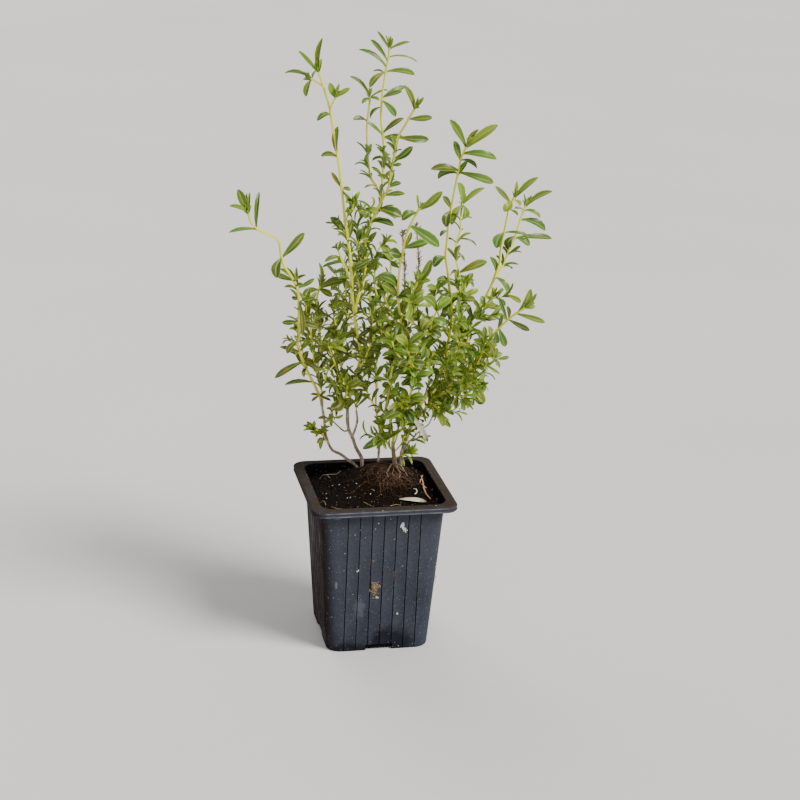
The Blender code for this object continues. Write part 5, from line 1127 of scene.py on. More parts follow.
def run_tree(made, tree_name, **values):
    """Run a Geometry Nodes tree on an object, with values for its named inputs."""
    tree = bpy.data.node_groups[tree_name]
    modifier = made.modifiers.new(tree_name, "NODES")
    modifier.node_group = tree
    for item in tree.interface.items_tree:
        if item.in_out == "INPUT" and item.name in values:
            modifier[item.identifier] = values[item.name]
    keep_result(made)
    if not made.data.polygons:
        raise RuntimeError(f"{tree_name} made nothing of {made.name}")


def cut(target, tools, operation):
    """Add solids to a target, or cut them from it, and remove them."""
    group = bpy.data.collections.new("tools")
    for tool in tools:
        bpy.context.scene.collection.objects.unlink(tool)
        group.objects.link(tool)
    bpy.context.scene.collection.children.link(group)
    boolean = target.modifiers.new("boolean", "BOOLEAN")
    boolean.operation = operation
    boolean.solver = "EXACT"
    boolean.operand_type = "COLLECTION"
    boolean.collection = group
    keep_result(target)
    remove_patterns(group)


def remove_patterns(group):
    for tool in list(group.objects):
        bpy.data.objects.remove(tool)
    bpy.data.collections.remove(group)


def join(name, made):
    """Make one object of several."""
    first = made[0]
    if made[1:]:
        with bpy.context.temp_override(active_object=first, object=first,
                                       selected_editable_objects=made):
            bpy.ops.object.join()
    first.name = name
    first.data.name = name
    return first


def finish_piece(made, nodes=(), smooth=40):
    """Hand a piece to the frame: its body and the nodes that it stands for."""
    made.data.shade_smooth()
    made.data.set_sharp_from_angle(angle=math.radians(smooth))
    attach(made, "root")
    if nodes:
        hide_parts(*nodes)


def square_ring(half, corner, height, groove=0.0):
    """Points round a square with rounded corners and grooved sides, anticlockwise from above."""
    pot = bpy.context.scene.savory_pot
    points = []
    for quarter in range(4):
        turn = Matrix.Rotation(math.radians(90 * quarter), 3, "Z")
        for step in range(CORNER_STEPS + 1):
            angle = math.radians(90 * step / CORNER_STEPS)
            across = half - corner + corner * math.cos(angle)
            along = half - corner + corner * math.sin(angle)
            points.append(turn @ Vector((across, along, height)))
        for number in range(GROOVES_A_SIDE, -GROOVES_A_SIDE - 1, -1):
            middle = number * pot.groove_pitch
            for offset, share in GROOVE_SHAPE:
                points.append(turn @ Vector((middle - offset * GROOVE_HALF,
                                             half - groove * share, height)))
    return points


def loft(rings, top_point=None):
    """Points and faces of a closed solid through rings of equal count, from foot to top."""
    count = len(rings[0])
    points = [point for ring in rings for point in ring]
    faces = [list(range(count))[::-1]]
    for lower in range(len(rings) - 1):
        for near in range(count):
            far = (near + 1) % count
            base = lower * count
            faces.append([base + near, base + far, base + count + far, base + count + near])
    last = (len(rings) - 1) * count
    if top_point is None:
        faces.append(list(range(last, last + count)))
        return points, faces
    points.append(top_point)
    for near in range(count):
        faces.append([last + near, last + (near + 1) % count, len(points) - 1])
    return points, faces


def turned_box(turn, low, high):
    rings = [[turn @ Vector((x, y, z)) for x, y in ((low[0], low[1]), (high[0], low[1]),
                                                    (high[0], high[1]), (low[0], high[1]))]
             for z in (low[2], high[2])]
    return new_object("box", *loft(rings))


def four_sides(make):
    """Call make(turn) once for each side of the pot, the front side first."""
    return [made for side in range(4)
            for made in make(Matrix.Rotation(math.radians(90 * side), 4, "Z"))]


def notch_boxes(turn, spare, roof):
    """The block over a drainage notch: the notch itself, or grown by spare all round."""
    foot = bpy.context.scene.savory_pot.body_foot_half
    half = NOTCH_WIDE / 2 + spare
    back = -foot + NOTCH_DEEP + spare
    inside = roof != NOTCH_TALL
    front = -foot + 0.4 * MM if inside else -foot - 5 * MM
    return [turned_box(turn, (-half, front, 0.4 * MM if inside else -1 * MM), (half, back, roof))]


def slot_boxes(turn):
    """Two drain slots through the roof of a notch."""
    middle = -bpy.context.scene.savory_pot.body_foot_half + SLOT_BACK
    reach = SLOT_SIZE / 2
    return [turned_box(turn, (side * NOTCH_WIDE / 4 - reach.x, middle - reach.y, 2 * MM),
                       (side * NOTCH_WIDE / 4 + reach.x, middle + reach.y, 7 * MM)) for side in (-1, 1)]


def body_half(height):
    """Half the width of the pot's body, outside, at a height."""
    pot = bpy.context.scene.savory_pot
    share = height / (pot.height - LIP_TALL)
    return pot.body_foot_half + (pot.body_top_half - pot.body_foot_half) * share


def pot_rings():
    """The pot's section, from its foot up the outside, over the rim and down the inside."""
    pot = bpy.context.scene.savory_pot
    lip_foot = pot.height - LIP_TALL
    under = pot.height - WALL
    rim = pot.rim_half
    rows = [(pot.body_foot_half - 0.6 * MM, BODY_CORNER, 0.0, 0.0),
            (pot.body_foot_half - 0.2 * MM, BODY_CORNER, 0.25 * MM, 0.0),
            (pot.body_foot_half, BODY_CORNER, 0.9 * MM, pot.groove_deep)]
    rows += [(body_half(lip_foot * share), BODY_CORNER, lip_foot * share, pot.groove_deep)
             for share in (0.25, 0.5, 0.75, 0.985)]
    rows += [(body_half(lip_foot), BODY_CORNER, lip_foot, 0.0),
             (pot.opening_half + WALL, BODY_CORNER, under, 0.0),
             (rim - WALL, RIM_CORNER - WALL, under, 0.0),
             (rim - WALL, RIM_CORNER - WALL, lip_foot, 0.0),
             (rim - 0.35 * MM, RIM_CORNER, lip_foot - 0.05 * MM, 0.0)]
    for place in BEAD_PLACES:
        for step in range(BEAD_STEPS + 1):
            angle = math.radians(-90 + 180 * step / BEAD_STEPS)
            rows.append((rim - 0.1 * MM + (BEAD_OUT + 0.1 * MM) * math.cos(angle), RIM_CORNER,
                         lip_foot + place + BEAD_TALL * math.sin(angle), 0.0))
    rows += [(rim - 0.25 * MM, RIM_CORNER, pot.height - 0.18 * MM, 0.0),
             (rim - 0.8 * MM, RIM_CORNER, pot.height, 0.0),
             (rim - 3.5 * MM, RIM_CORNER, pot.height - 0.12 * MM, 0.0),
             (pot.opening_half + 0.5 * MM, RIM_CORNER, pot.height - 0.05 * MM, 0.0)]
    for step in range(EDGE_STEPS + 1):
        angle = math.radians(90 * step / EDGE_STEPS)
        rows.append((pot.opening_half - EDGE_ROUND * math.sin(angle), RIM_CORNER,
                     pot.height - EDGE_ROUND * (1 - math.cos(angle)), 0.0))
    rows += [(body_half(lip_foot) - WALL, BODY_CORNER - WALL, lip_foot + 0.4 * MM, 0.0),
             (body_half(WALL) - WALL, BODY_CORNER - WALL, WALL, 0.0)]
    return [square_ring(*row) for row in rows]


def mark_trim(mesh):
    """Mark the pot's grooves with -1, for painted shade, and their edges and the lip's beads with 1, for
    painted highlights.
    """
    pot = bpy.context.scene.savory_pot
    values = []
    for vertex in mesh.vertices:
        along, outward = sorted(vertex.co.xy, key=abs)
        number = round(along / pot.groove_pitch)
        offset = abs(along - number * pot.groove_pitch) / GROOVE_HALF
        height = vertex.co.z
        value = 0.0
        if height > pot.height - LIP_TALL - 0.1 * MM:
            value = 1.0 if abs(outward) > pot.rim_half + 0.8 * BEAD_OUT else 0.0
        elif (abs(number) <= GROOVES_A_SIDE and height > 0.5 * MM
                and abs(outward) > body_half(height) - pot.groove_deep - 0.1 * MM):
            value = -1.0 if offset < 0.5 else 1.0 if 0.9 < offset < 1.2 else 0.0
        values.append(value)
    set_values(mesh, "trim", "FLOAT", values)


def soil_height(x, y):
    """The soil's surface: a heap behind the pot's middle, with clods on it."""
    soil = bpy.context.scene.savory_soil
    across = (x - HEAP_AT.x) / HEAP_SPREAD.x
    along = (y - HEAP_AT.y) / HEAP_SPREAD.y
    heap = soil.heap_tall * math.exp(-0.5 * (across * across + along * along))
    clods = CLOD_TALL * noise.noise(Vector((x / CLOD_WIDE, y / CLOD_WIDE, 0.0)))
    return soil.edge_height + heap + clods


def crumbly_height(x, y):
    """The soil's surface with its small crumbs."""
    place = Vector((x / CRUMB_WIDE, y / CRUMB_WIDE, 3.0))
    return soil_height(x, y) + CRUMB_TALL * (noise.noise(place) + 0.6 * noise.noise(2.3 * place))


def on_soil(x, y, lift=0.0):
    """A point on the soil from millimetres."""
    return Vector((x * MM, y * MM, crumbly_height(x * MM, y * MM) + lift * MM))


def on_curve(route, u):
    """The point at place u of the smooth curve through a route's points."""
    step = min(int(u), len(route) - 2)
    share = u - step
    before, start = route[max(step - 1, 0)], route[step]
    end, after = route[step + 1], route[min(step + 2, len(route) - 1)]
    return 0.5 * (2 * start + (end - before) * share
                  + (2 * before - 5 * start + 4 * end - after) * share ** 2
                  + (3 * start - before - 3 * end + after) * share ** 3)


def place_on(route, u):
    step = min(int(u), len(route) - 2)
    return route[step].lerp(route[step + 1], u - step)


def heading_on(route, u):
    step = min(int(u), len(route) - 2)
    return (route[step + 1] - route[step]).normalized()


def radius_on(each, u):
    share = u / (len(each.route) - 1)
    return each.radii[0] + (each.radii[1] - each.radii[0]) * share


def nearest_on(route, point):
    """The place on a route nearest to a point, as a count of its points passed."""
    best = None
    for step in range(len(route) - 1):
        run = route[step + 1] - route[step]
        share = (point - route[step]).dot(run) / run.length_squared
        share = min(max(share, 0.0), 1.0)
        away = (route[step] + run * share - point).length
        if best is None or away < best[0]:
            best = (away, step + share)
    return best[1]


def places_along(route):
    """Each route point's distance from the route's start."""
    distances = [0.0]
    for start, end in zip(route, route[1:]):
        distances.append(distances[-1] + (end - start).length)
    return distances


def seat_stem(each):
    """Start a branch just clear of its parent, where its leaves are counted from."""
    if each.parent is None:
        foot = each.route[0].copy()
        foot.z = soil_height(foot.x, foot.y) - FOOT_DEEP
        return each._replace(route=[foot] + each.route)
    parent = STEMS[each.parent]
    u = nearest_on(parent.route, each.route[0])
    fork = place_on(parent.route, u)
    route = [fork] + each.route[1:]
    if parent.node == each.node:
        return each._replace(route=route)
    turned = heading_on(parent.route, u).angle((route[1] - fork).normalized())
    if u > len(parent.route) - 1.05:
        start = GAP + each.radii[0] * math.sin(turned)
    else:
        clear = radius_on(parent, u) + GAP + each.radii[0] * abs(math.cos(turned))
        start = clear / math.sin(turned)
    while (route[1] - fork).length < start + 1.0 * MM:
        route.pop(1)
    route[0] = fork + (route[1] - fork).normalized() * start
    return each._replace(route=route)


def fork_of(each):
    """Where a branch leaves the middle of its parent."""
    parent = STEMS[each.parent]
    return on_curve(parent.route, nearest_on(parent.route, each.route[0]))


def upper_side(base, tip, heading, lean):
    """A leaf's upper side: towards the stem's tip, and partly towards the light."""
    along = (tip - base).normalized()
    radial = (along - heading * along.dot(heading)).normalized()
    angle = heading.angle(along)
    inward = heading * math.sin(angle) - radial * math.cos(angle)
    return (inward + LIGHT_FROM * lean).normalized()


def leaf_age(far, draw):
    """A leaf's age, from 0 at the tip of its shoot to 1 well below it."""
    return min(max(far / AGE_REACH + draw.uniform(-0.1, 0.3), 0.0), 1.0)


def chosen_leaves(name, seated):
    """The leaves that are placed one by one."""
    draw = random.Random(name + " ages")
    for u, *tip, width, form in STEMS[name].leaves:
        route = seated.route
        u = nearest_on(route, place_on(STEMS[name].route, u))
        sunk = len(route) - 1 - ROOT_SINK / (route[-1] - route[-2]).length
        base = on_curve(route, min(u, sunk))
        heading = heading_on(route, u)
        tip = Vector(tip) * MM
        lean = LEAN_FINE if form is NARROW else LEAN_CHOSEN
        age = max(leaf_age((route[-1] - base).length, draw), CHOSEN_AGE)
        yield Leaf(base, tip, upper_side(base, tip, heading, lean), width * MM * BLADE_FULL, form, age)


def leaf_by_rule(route, distances, distance, phase, angle, length, width, form, age):
    """A leaf at a distance along its stem: phase is round the stem and angle away from it."""
    distance = min(distance, distances[-1] - ROOT_SINK)
    step = max(index for index in range(len(route) - 1) if distances[index] <= distance)
    run = route[step + 1] - route[step]
    heading = run.normalized()
    base = on_curve(route, step + (distance - distances[step]) / run.length)
    across = (PHASE_ZERO - heading * heading.dot(PHASE_ZERO)).normalized()
    radial = Matrix.Rotation(math.radians(phase), 3, heading) @ across
    away = math.radians(angle)
    tip = base + (heading * math.cos(away) + radial * math.sin(away)) * length
    return Leaf(base, tip, upper_side(base, tip, heading, LEAN_FINE), width, form, age)


def rule_leaves(name, seated):
    """The leaves that fill a stem between its chosen ones, as widely set as in the solids."""
    draw = random.Random(name)
    ages = random.Random(name + " rule ages")
    route = seated.route
    distances = places_along(route)
    original = STEMS[name].route
    taken = []
    for leaf in STEMS[name].leaves:
        u = nearest_on(route, place_on(original, leaf[0]))
        step = min(int(u), len(route) - 2)
        taken.append(distances[step] + (distances[step + 1] - distances[step]) * (u - step))
    for fill, start, end in seated.fill:
        wider = NARROW_FULL if fill.form is NARROW else 1.0
        distance = start * distances[-1]
        turn = draw.uniform(0, 90)
        while distance < end * distances[-1] - 1 * MM:
            if all(abs(distance - other) > CHOSEN_NEAR for other in taken):
                for side in range(2):
                    phase = turn + 180 * side + draw.uniform(-14, 14)
                    yield leaf_by_rule(route, distances, distance, phase, draw.uniform(*fill.angle),
                                       draw.uniform(*fill.length) * MM,
                                       draw.uniform(*fill.width) * wider * MM, fill.form,
                                       FILL_AGE * leaf_age(distances[-1] - distance, ages))
            distance += fill.spacing * MM * draw.uniform(0.85, 1.15)
            turn += 90 + draw.uniform(-12, 12)
        if end == 1.0:
            for side in range(2):
                yield leaf_by_rule(route, distances, distances[-1], turn + 180 * side,
                                   draw.uniform(14, 34), draw.uniform(*fill.length) * 0.8 * MM,
                                   sum(fill.width) / 2 * MM, YOUNG, 0.1)


def close_leaves(name, seated, paths):
    """The closer pairs and the side sprigs of a stem, each only where it finds room."""
    draw = random.Random(name + " close")
    route = seated.route
    distances = places_along(route)
    for fill, start, end in seated.fill:
        distance = start * distances[-1] + 1.5 * MM
        turn = draw.uniform(0, 90)
        while distance < end * distances[-1]:
            for side in range(2):
                phase = turn + 180 * side
                age = FILL_AGE * leaf_age(distances[-1] - distance, draw)
                if draw.random() < fill.sprigs:
                    yield from grow_sprig(route, distances, distance, phase, fill, draw, paths)
                    continue
                yield from with_room(lambda: leaf_by_rule(
                    route, distances, distance + draw.uniform(-0.5, 0.5) * MM,
                    phase + draw.uniform(-40, 40), draw.uniform(*fill.angle),
                    draw.uniform(*fill.length) * draw.uniform(*fill.short) * MM,
                    draw.uniform(*fill.close) * MM, draw.choice(fill.forms), age))
            distance += fill.between * MM * draw.uniform(0.75, 1.25)
            turn += 90 + draw.uniform(-20, 20)
    tip = distances[-1]
    dry = any(fill[0] is HUSKS for fill in seated.fill)
    for number in range(6):
        small = 2.0 if dry else draw.uniform(4.5, 9.0)
        yield leaf_by_rule(route, distances, tip - 0.4 * number * MM,
                           90 * number + 25 * (number > 3), draw.uniform(6, 16) + 6 * number,
                           small * MM, 0.28 * small * MM, YOUNG, 0.0)


def with_room(make, tries=4):
    """The first leaf of a few that has room, if any."""
    for _ in range(tries):
        leaf = make()
        if has_room(leaf):
            take_room(leaf)
            yield leaf
            return


def grow_sprig(route, distances, distance, phase, fill, draw, paths):
    """A short side sprig with small leaves in pairs, where there is room for it."""
    long = draw.uniform(6.0, 13.0) * MM
    spine = leaf_by_rule(route, distances, distance, phase + draw.uniform(-30, 30),
                         draw.uniform(35, 62), long, 0.8 * MM, NARROW, 0.0)
    middle = spine.base.lerp(spine.tip, 0.55) - Vector((0.0, 0.0, 0.08)) * long
    twig = [spine.base, middle, spine.tip]
    if not has_room(spine):
        return
    take_room(spine)
    paths.append([(on_curve(twig, 0.25 * step), (0.42 - 0.03 * step) * MM, 0.3) for step in range(9)])
    marks = places_along(twig)
    far = 0.3 * marks[-1]
    turn = draw.uniform(0, 180)
    broad = sum(fill.close) / sum(fill.length)
    while far < marks[-1] + 0.5 * MM:
        for side in range(2):
            small = draw.uniform(6.0, 10.5) * MM
            yield from with_room(lambda: leaf_by_rule(
                twig, marks, far, turn + 180 * side + draw.uniform(-20, 20),
                draw.uniform(32, 66), small, small * broad * draw.uniform(0.9, 1.2),
                draw.choice(fill.forms), FILL_AGE * draw.uniform(0.15, 1.0)), 2)
        far += draw.uniform(2.8, 4.2) * MM
        turn += 90
    yield leaf_by_rule(twig, marks, marks[-1], turn, 12, 3.0 * MM, 1.0 * MM, YOUNG, 0.0)


def blade_points(leaf):
    """Points down the middle of a blade, away from its stem, each with half its width there."""
    chord = leaf.tip - leaf.base
    arch = math.radians(leaf.form.arch)
    for share in (0.45, 0.7, 0.95):
        rise = (math.cos(arch * (share - 0.5)) - math.cos(arch / 2)) / (2 * math.sin(arch / 2))
        yield (leaf.base + chord * share + leaf.up * rise * chord.length,
               half_width(share, leaf.form.widest) * leaf.width)


def cell_of(point):
    return tuple(int(part // CELL) for part in point)


def has_room(leaf):
    """Whether a leaf keeps clear of the stems and leaves that are there."""
    for point, half in blade_points(leaf):
        if point.z < LEAF_FLOOR:
            return False
        x, y, z = cell_of(point)
        for cell in ((x + i, y + j, z + k) for i in (-1, 0, 1) for j in (-1, 0, 1) for k in (-1, 0, 1)):
            for other, wide in ROOM.get(cell, ()):
                if (other - point).length < ROOM_SHARE * min(half, wide) + ROOM_GAP:
                    return False
    return True


def take_room(leaf):
    for point, half in blade_points(leaf):
        ROOM.setdefault(cell_of(point), []).append((point, half))


def plan_plant():
    """Work out every stem and leaf: the tables first, then what finds room between them."""
    for name, each in STEMS.items():
        seated = seat_stem(each)
        wood = each.table == "wood"
        paths = [stem_path(name, seated, WOOD_ROUGH if wood else 0.0)]
        PLANT[name] = {"seated": seated, "paths": paths}
        for point, radius, _ in paths[0]:
            ROOM.setdefault(cell_of(point), []).append((point, radius))
            if each.radii[0] > MAIN_RADIUS and not wood:
                for deep in BARE_DEEP:
                    front = point + LIGHT_FROM * deep * MM
                    ROOM.setdefault(cell_of(front), []).append((front, BARE_WIDE))
    for name, plan in PLANT.items():
        plan["leaves"] = list(chosen_leaves(name, plan["seated"]))
        if STEMS[name].table != "close":
            plan["leaves"] += rule_leaves(name, plan["seated"])
        for leaf in plan["leaves"]:
            take_room(leaf)
    for name, plan in PLANT.items():
        if STEMS[name].table != "wood":
            plan["leaves"] += close_leaves(name, plan["seated"], plan["paths"])


def plans_of(table):
    """The names of the stems of each node that a table makes."""
    if not PLANT:
        plan_plant()
    nodes = dict.fromkeys(each.node for each in STEMS.values() if each.table == table)
    for node in nodes:
        nodes[node] = [name for name, each in STEMS.items() if each.node == node]
    return nodes


def half_width(share, widest):
    """Half a blade's width at a share of its length, for a blade one wide."""
    if share < widest:
        spread = ROOT_SHARE + (1 - ROOT_SHARE) * math.sin(0.5 * math.pi * share / widest) ** 1.4
    else:
        spread = (1 - ((share - widest) / (1 - widest)) ** 2.3) ** 0.78
    return spread / 2


def leaf_pattern(name, form, thick, draw):
    """A blade one long and one wide: its midrib sunk, its halves domed, its tip closed."""
    arch = math.radians(form.arch)
    fold = math.radians(form.fold)
    bend = 1 / (2 * math.sin(arch / 2))
    sway = draw.uniform(-LEAF_SWAY, LEAF_SWAY)
    twist = math.radians(draw.uniform(-LEAF_TWIST, LEAF_TWIST))
    points = []
    shares = []
    for share in LEAF_ROWS:
        angle = arch * (share - 0.5)
        middle = Vector((sway * math.sin(math.pi * share),
                         bend * (math.sin(arch / 2) + math.sin(angle)),
                         bend * (math.cos(angle) - math.cos(arch / 2))))
        normal = Vector((0.0, math.sin(angle), math.cos(angle)))
        half = half_width(share, form.widest)
        roll = twist * share
        for across in LEAF_ACROSS:
            dome = LEAF_DOME * math.sin(math.pi * min(abs(across) * 1.15, 1.0))
            rise = half * (abs(across) * math.sin(fold) + dome) * NOMINAL_SLIMNESS
            rise += half * across * math.sin(roll) * NOMINAL_SLIMNESS
            points.append(middle + Vector((half * across * math.cos(fold), 0.0, 0.0))
                          + normal * (rise - 0.2 * thick))
        points.append(middle - normal * thick * (1.2 if share else 1.6))
        shares += [share] * LEAF_LOOP
    end = Vector((0.0, 1.0, 0.0))
    points.append(end)
    shares.append(1.0)
    faces = [[0, 5, 4, 3, 2, 1]]
    for row in range(len(LEAF_ROWS) - 1):
        for side in range(LEAF_LOOP):
            near, far = LEAF_LOOP * row + side, LEAF_LOOP * row + (side + 1) % LEAF_LOOP
            faces.append([near, far, far + LEAF_LOOP, near + LEAF_LOOP])
    last = LEAF_LOOP * (len(LEAF_ROWS) - 1)
    faces += [[last + side, last + (side + 1) % LEAF_LOOP, len(points) - 1]
              for side in range(LEAF_LOOP)]
    made = new_object(name, points, faces)
    mark_blade(made.data, shares)
    return made


def mark_blade(mesh, shares):
    """Give a blade its place across and along as UV, and mark its lower faces."""
    across = [(place + 1) / 2 for place in LEAF_ACROSS] + [0.5]
    blade = mesh.uv_layers.new(name="blade")
    for loop in mesh.loops:
        vertex = loop.vertex_index
        tip = vertex == len(shares) - 1
        blade.uv[loop.index].vector = (0.5 if tip else across[vertex % LEAF_LOOP], shares[vertex])
    under = mesh.attributes.new("under", "FLOAT", "FACE")
    for face in mesh.polygons:
        low = any(vertex % LEAF_LOOP == LEAF_LOOP - 1 and vertex < len(shares) - 1
                  for vertex in face.vertices)
        under.data[face.index].value = 1.0 if low else 0.0


def leaf_patterns():
    """A collection of blades: a few of each form, in the order of FORMS."""
    draw = random.Random("blades")
    thick = bpy.context.scene.savory_plant.leaf_thick
    group = bpy.data.collections.new("leaf_patterns")
    for index, form in enumerate(FORMS):
        for number in range(PATTERNS_A_FORM):
            made = leaf_pattern(f"blade_{index}{number}", form, thick, draw)
            bpy.context.scene.collection.objects.unlink(made)
            group.objects.link(made)
    return group


def bit_patterns(kind):
    """A collection of small bits one wide: rough crumbs, or short bent fibres."""
    group = bpy.data.collections.new("bit_patterns")
    draw = random.Random(kind)
    for number in range(BIT_PATTERNS):
        body = bmesh.new()
        if kind == "crumb":
            bmesh.ops.create_icosphere(body, subdivisions=1, radius=0.5)
            for vertex in body.verts:
                vertex.co *= draw.uniform(0.6, 1.2)
        else:
            add_fibre(body, draw)
        mesh = bpy.data.meshes.new(f"{kind}_{number}")
        body.to_mesh(mesh)
        body.free()
        group.objects.link(bpy.data.objects.new(mesh.name, mesh))
    return group


def add_fibre(body, draw):
    """A bent three-sided fibre, thin at both ends."""
    bend = draw.uniform(0.15, 0.5)
    wave = draw.uniform(-0.15, 0.15)
    rings = []
    for step in range(6):
        share = step / 5
        middle = Vector((share - 0.5, bend * (share - share * share), wave * math.sin(6 * share)))
        radius = FIBRE_THIN * (0.4 + math.sin(math.pi * share))
        rings.append([body.verts.new(middle + Vector((0.0, radius * math.cos(math.tau * side / 3),
                                                      radius * math.sin(math.tau * side / 3))))
                      for side in range(3)])
    for lower, upper in zip(rings, rings[1:]):
        for side in range(3):
            body.faces.new([lower[side], upper[side], upper[(side + 1) % 3], lower[(side + 1) % 3]])
    body.faces.new(rings[0])
    body.faces.new(rings[-1][::-1])
    bmesh.ops.recalc_face_normals(body, faces=body.faces)


def set_values(mesh, name, kind, values):
    """Give each point of a mesh its value of an attribute."""
    layer = mesh.attributes.new(name, kind, "POINT")
    field = "vector" if kind == "FLOAT_VECTOR" else "value"
    flat = [part for value in values for part in value] if hasattr(values[0], "__len__") else values
    layer.data.foreach_set(field, flat)


def grow_leaves(name, leaves, skin, patterns):
    """The leaves of one piece, as blades on points."""
    draw = random.Random(name + " tints")
    turns, sizes, kinds = [], [], []
    for leaf in leaves:
        chord = leaf.tip - leaf.base
        along = chord.normalized()
        up = (leaf.up - along * leaf.up.dot(along)).normalized()
        side = along.cross(up)
        turns.append(Matrix((side, along, up)).transposed().to_quaternion())
        slimness = leaf.width / chord.length
        sizes.append((leaf.width, chord.length, chord.length * (slimness / NOMINAL_SLIMNESS) ** 0.6))
        kinds.append(FORMS.index(leaf.form) * PATTERNS_A_FORM + draw.randrange(PATTERNS_A_FORM))
    made = new_object(name, [leaf.base for leaf in leaves])
    set_values(made.data, "turn", "QUATERNION", turns)
    set_values(made.data, "size", "FLOAT_VECTOR", sizes)
    set_values(made.data, "pattern", "INT", kinds)
    tints = [min(draw.random() + OLIVE * (leaf.base.x < 0 and leaf.base.z < OLIVE_BELOW), 1.0)
             for leaf in leaves]
    set_values(made.data, "tint", "FLOAT", tints)
    set_values(made.data, "age", "FLOAT", [leaf.age for leaf in leaves])
    run_tree(made, "Leaves on points", Patterns=patterns, Skin=skin)
    return made


def grow_paths(name, paths, skin, sides=8, squareness=0.16):
    """Tubes along paths, each a list of (point, radius, age)."""
    points, edges, radii, ages = [], [], [], []
    for path in paths:
        first = len(points)
        edges += [(first + step, first + step + 1) for step in range(len(path) - 1)]
        for point, radius, age in path:
            points.append(point)
            radii.append(radius)
            ages.append(age)
    made = new_object(name, points, edges=edges)
    set_values(made.data, "radius", "FLOAT", radii)
    set_values(made.data, "age", "FLOAT", ages)
    run_tree(made, "Stem round a path", Sides=sides, Squareness=squareness, Skin=skin)
    return made


def stem_path(name, seated, rough=0.0):
    """A stem's smooth path, with knots where its leaves sit and a rough bark if it is wood."""
    each = STEMS[name]
    draw = random.Random(name + " bark")
    route = list(seated.route)
    if each.parent:
        route[0] = fork_of(each)
    distances = places_along(route)
    knots = [place_on(each.route, leaf[0]) for leaf in each.leaves]
    path = []
    for index in range(STEM_STEPS * (len(route) - 1) + 1):
        u = index / STEM_STEPS
        step = min(int(u), len(route) - 2)
        far = distances[step] + (distances[step + 1] - distances[step]) * (u - step)
        share = far / distances[-1]
        point = on_curve(route, u)
        full = WOOD_FULL if rough else FOOT_FULL + (TIP_FULL - FOOT_FULL) * share
        radius = (each.radii[0] + (each.radii[1] - each.radii[0]) * share) * full
        knot = max((math.exp(-((point - place).length / KNOT_LONG) ** 2) for place in knots),
                   default=0.0)
        radius *= 1 + KNOT_THICK * knot + rough * draw.uniform(-1, 1)
        path.append((point, radius, 1 - share))
    return path


def grow_shoots(table, skin="leaf_skin", stem_skin="stem_skin"):
    """Every shoot of a table: its stem and twigs, and their leaves."""
    patterns = leaf_patterns()
    skins = bpy.data.materials
    for node, names in plans_of(table).items():
        paths = [path for name in names for path in PLANT[name]["paths"]]
        leaves = [leaf for name in names for leaf in PLANT[name]["leaves"]]
        parts = [grow_paths(node + "_stem", paths, skins[stem_skin]),
                 grow_leaves(node + "_blades", leaves, skins[skin], patterns)]
        finish_piece(join("grown_" + node, parts), [node], smooth=50)
    remove_patterns(patterns)


def soil_patch(name):
    """A sheet over the soil on which bits are strewn, bare where they lie thickest."""
    steps = PATCH_STEPS
    side = [PATCH_HALF * (2 * step / steps - 1) for step in range(steps + 1)]
    points = [Vector((x, y, crumbly_height(x, y))) for y in side for x in side]
    faces = [[row * (steps + 1) + step, row * (steps + 1) + step + 1,
              (row + 1) * (steps + 1) + step + 1, (row + 1) * (steps + 1) + step]
             for row in range(steps) for step in range(steps)]
    made = new_object(name, points, faces)
    bare = [0.55 + 0.9 * noise.noise(Vector((point.x, point.y, 0.0)) / BARE_PATCH) for point in points]
    set_values(made.data, "bare", "FLOAT", [min(max(value, 0.1), 1.0) for value in bare])
    return made


def heap_rootlets():
    """Fine roots that wander down the heap from the foot of the stems."""
    draw = random.Random("rootlets")
    paths = []
    for _ in range(ROOTLETS):
        place = Vector((14.0 + draw.gauss(0, 6), 13.0 + draw.gauss(0, 6)))
        heading = math.radians(draw.uniform(180, 360))
        radius = draw.uniform(0.07, 0.17)
        path = []
        for step in range(draw.randrange(7, 15)):
            lift = 0.25 + 0.9 * abs(noise.noise(Vector((place.x / 4, place.y / 4, radius * 30))))
            path.append((on_soil(place.x, place.y, lift), radius * MM * (1 - 0.05 * step), 0.5))
            heading += draw.uniform(-0.55, 0.55)
            place += Vector((math.cos(heading), math.sin(heading))) * draw.uniform(1.0, 1.8)
            place.x = min(max(place.x, -33.0), 33.0)
            place.y = min(max(place.y, -33.0), 33.0)
        paths.append(path)
    return paths


def dirt_crumb(x, z, size, draw):
    """Points and faces of a rough crumb on the pot's front, from millimetres."""
    body = bmesh.new()
    bmesh.ops.create_icosphere(body, subdivisions=1, radius=size * MM / 2)
    middle = Vector((x * MM, -body_half(z * MM) - 0.1 * MM, z * MM))
    points = [vertex.co * draw.uniform(0.65, 1.2) + middle for vertex in body.verts]
    faces = [[vertex.index for vertex in face.verts] for face in body.faces]
    body.free()
    return points, faces


def add_light(name, strength, place, spread, color):
    """A soft light from far off that shines from a place towards the plant."""
    light = bpy.data.lights.new(name, "SUN")
    light.energy = strength
    light.angle = math.radians(spread)
    light.color = color
    lamp = bpy.data.objects.new(name, light)
    lamp.location = place
    lamp.rotation_euler = (place - LIT_POINT).to_track_quat("Z", "Y").to_euler()
    bpy.context.scene.collection.objects.link(lamp)


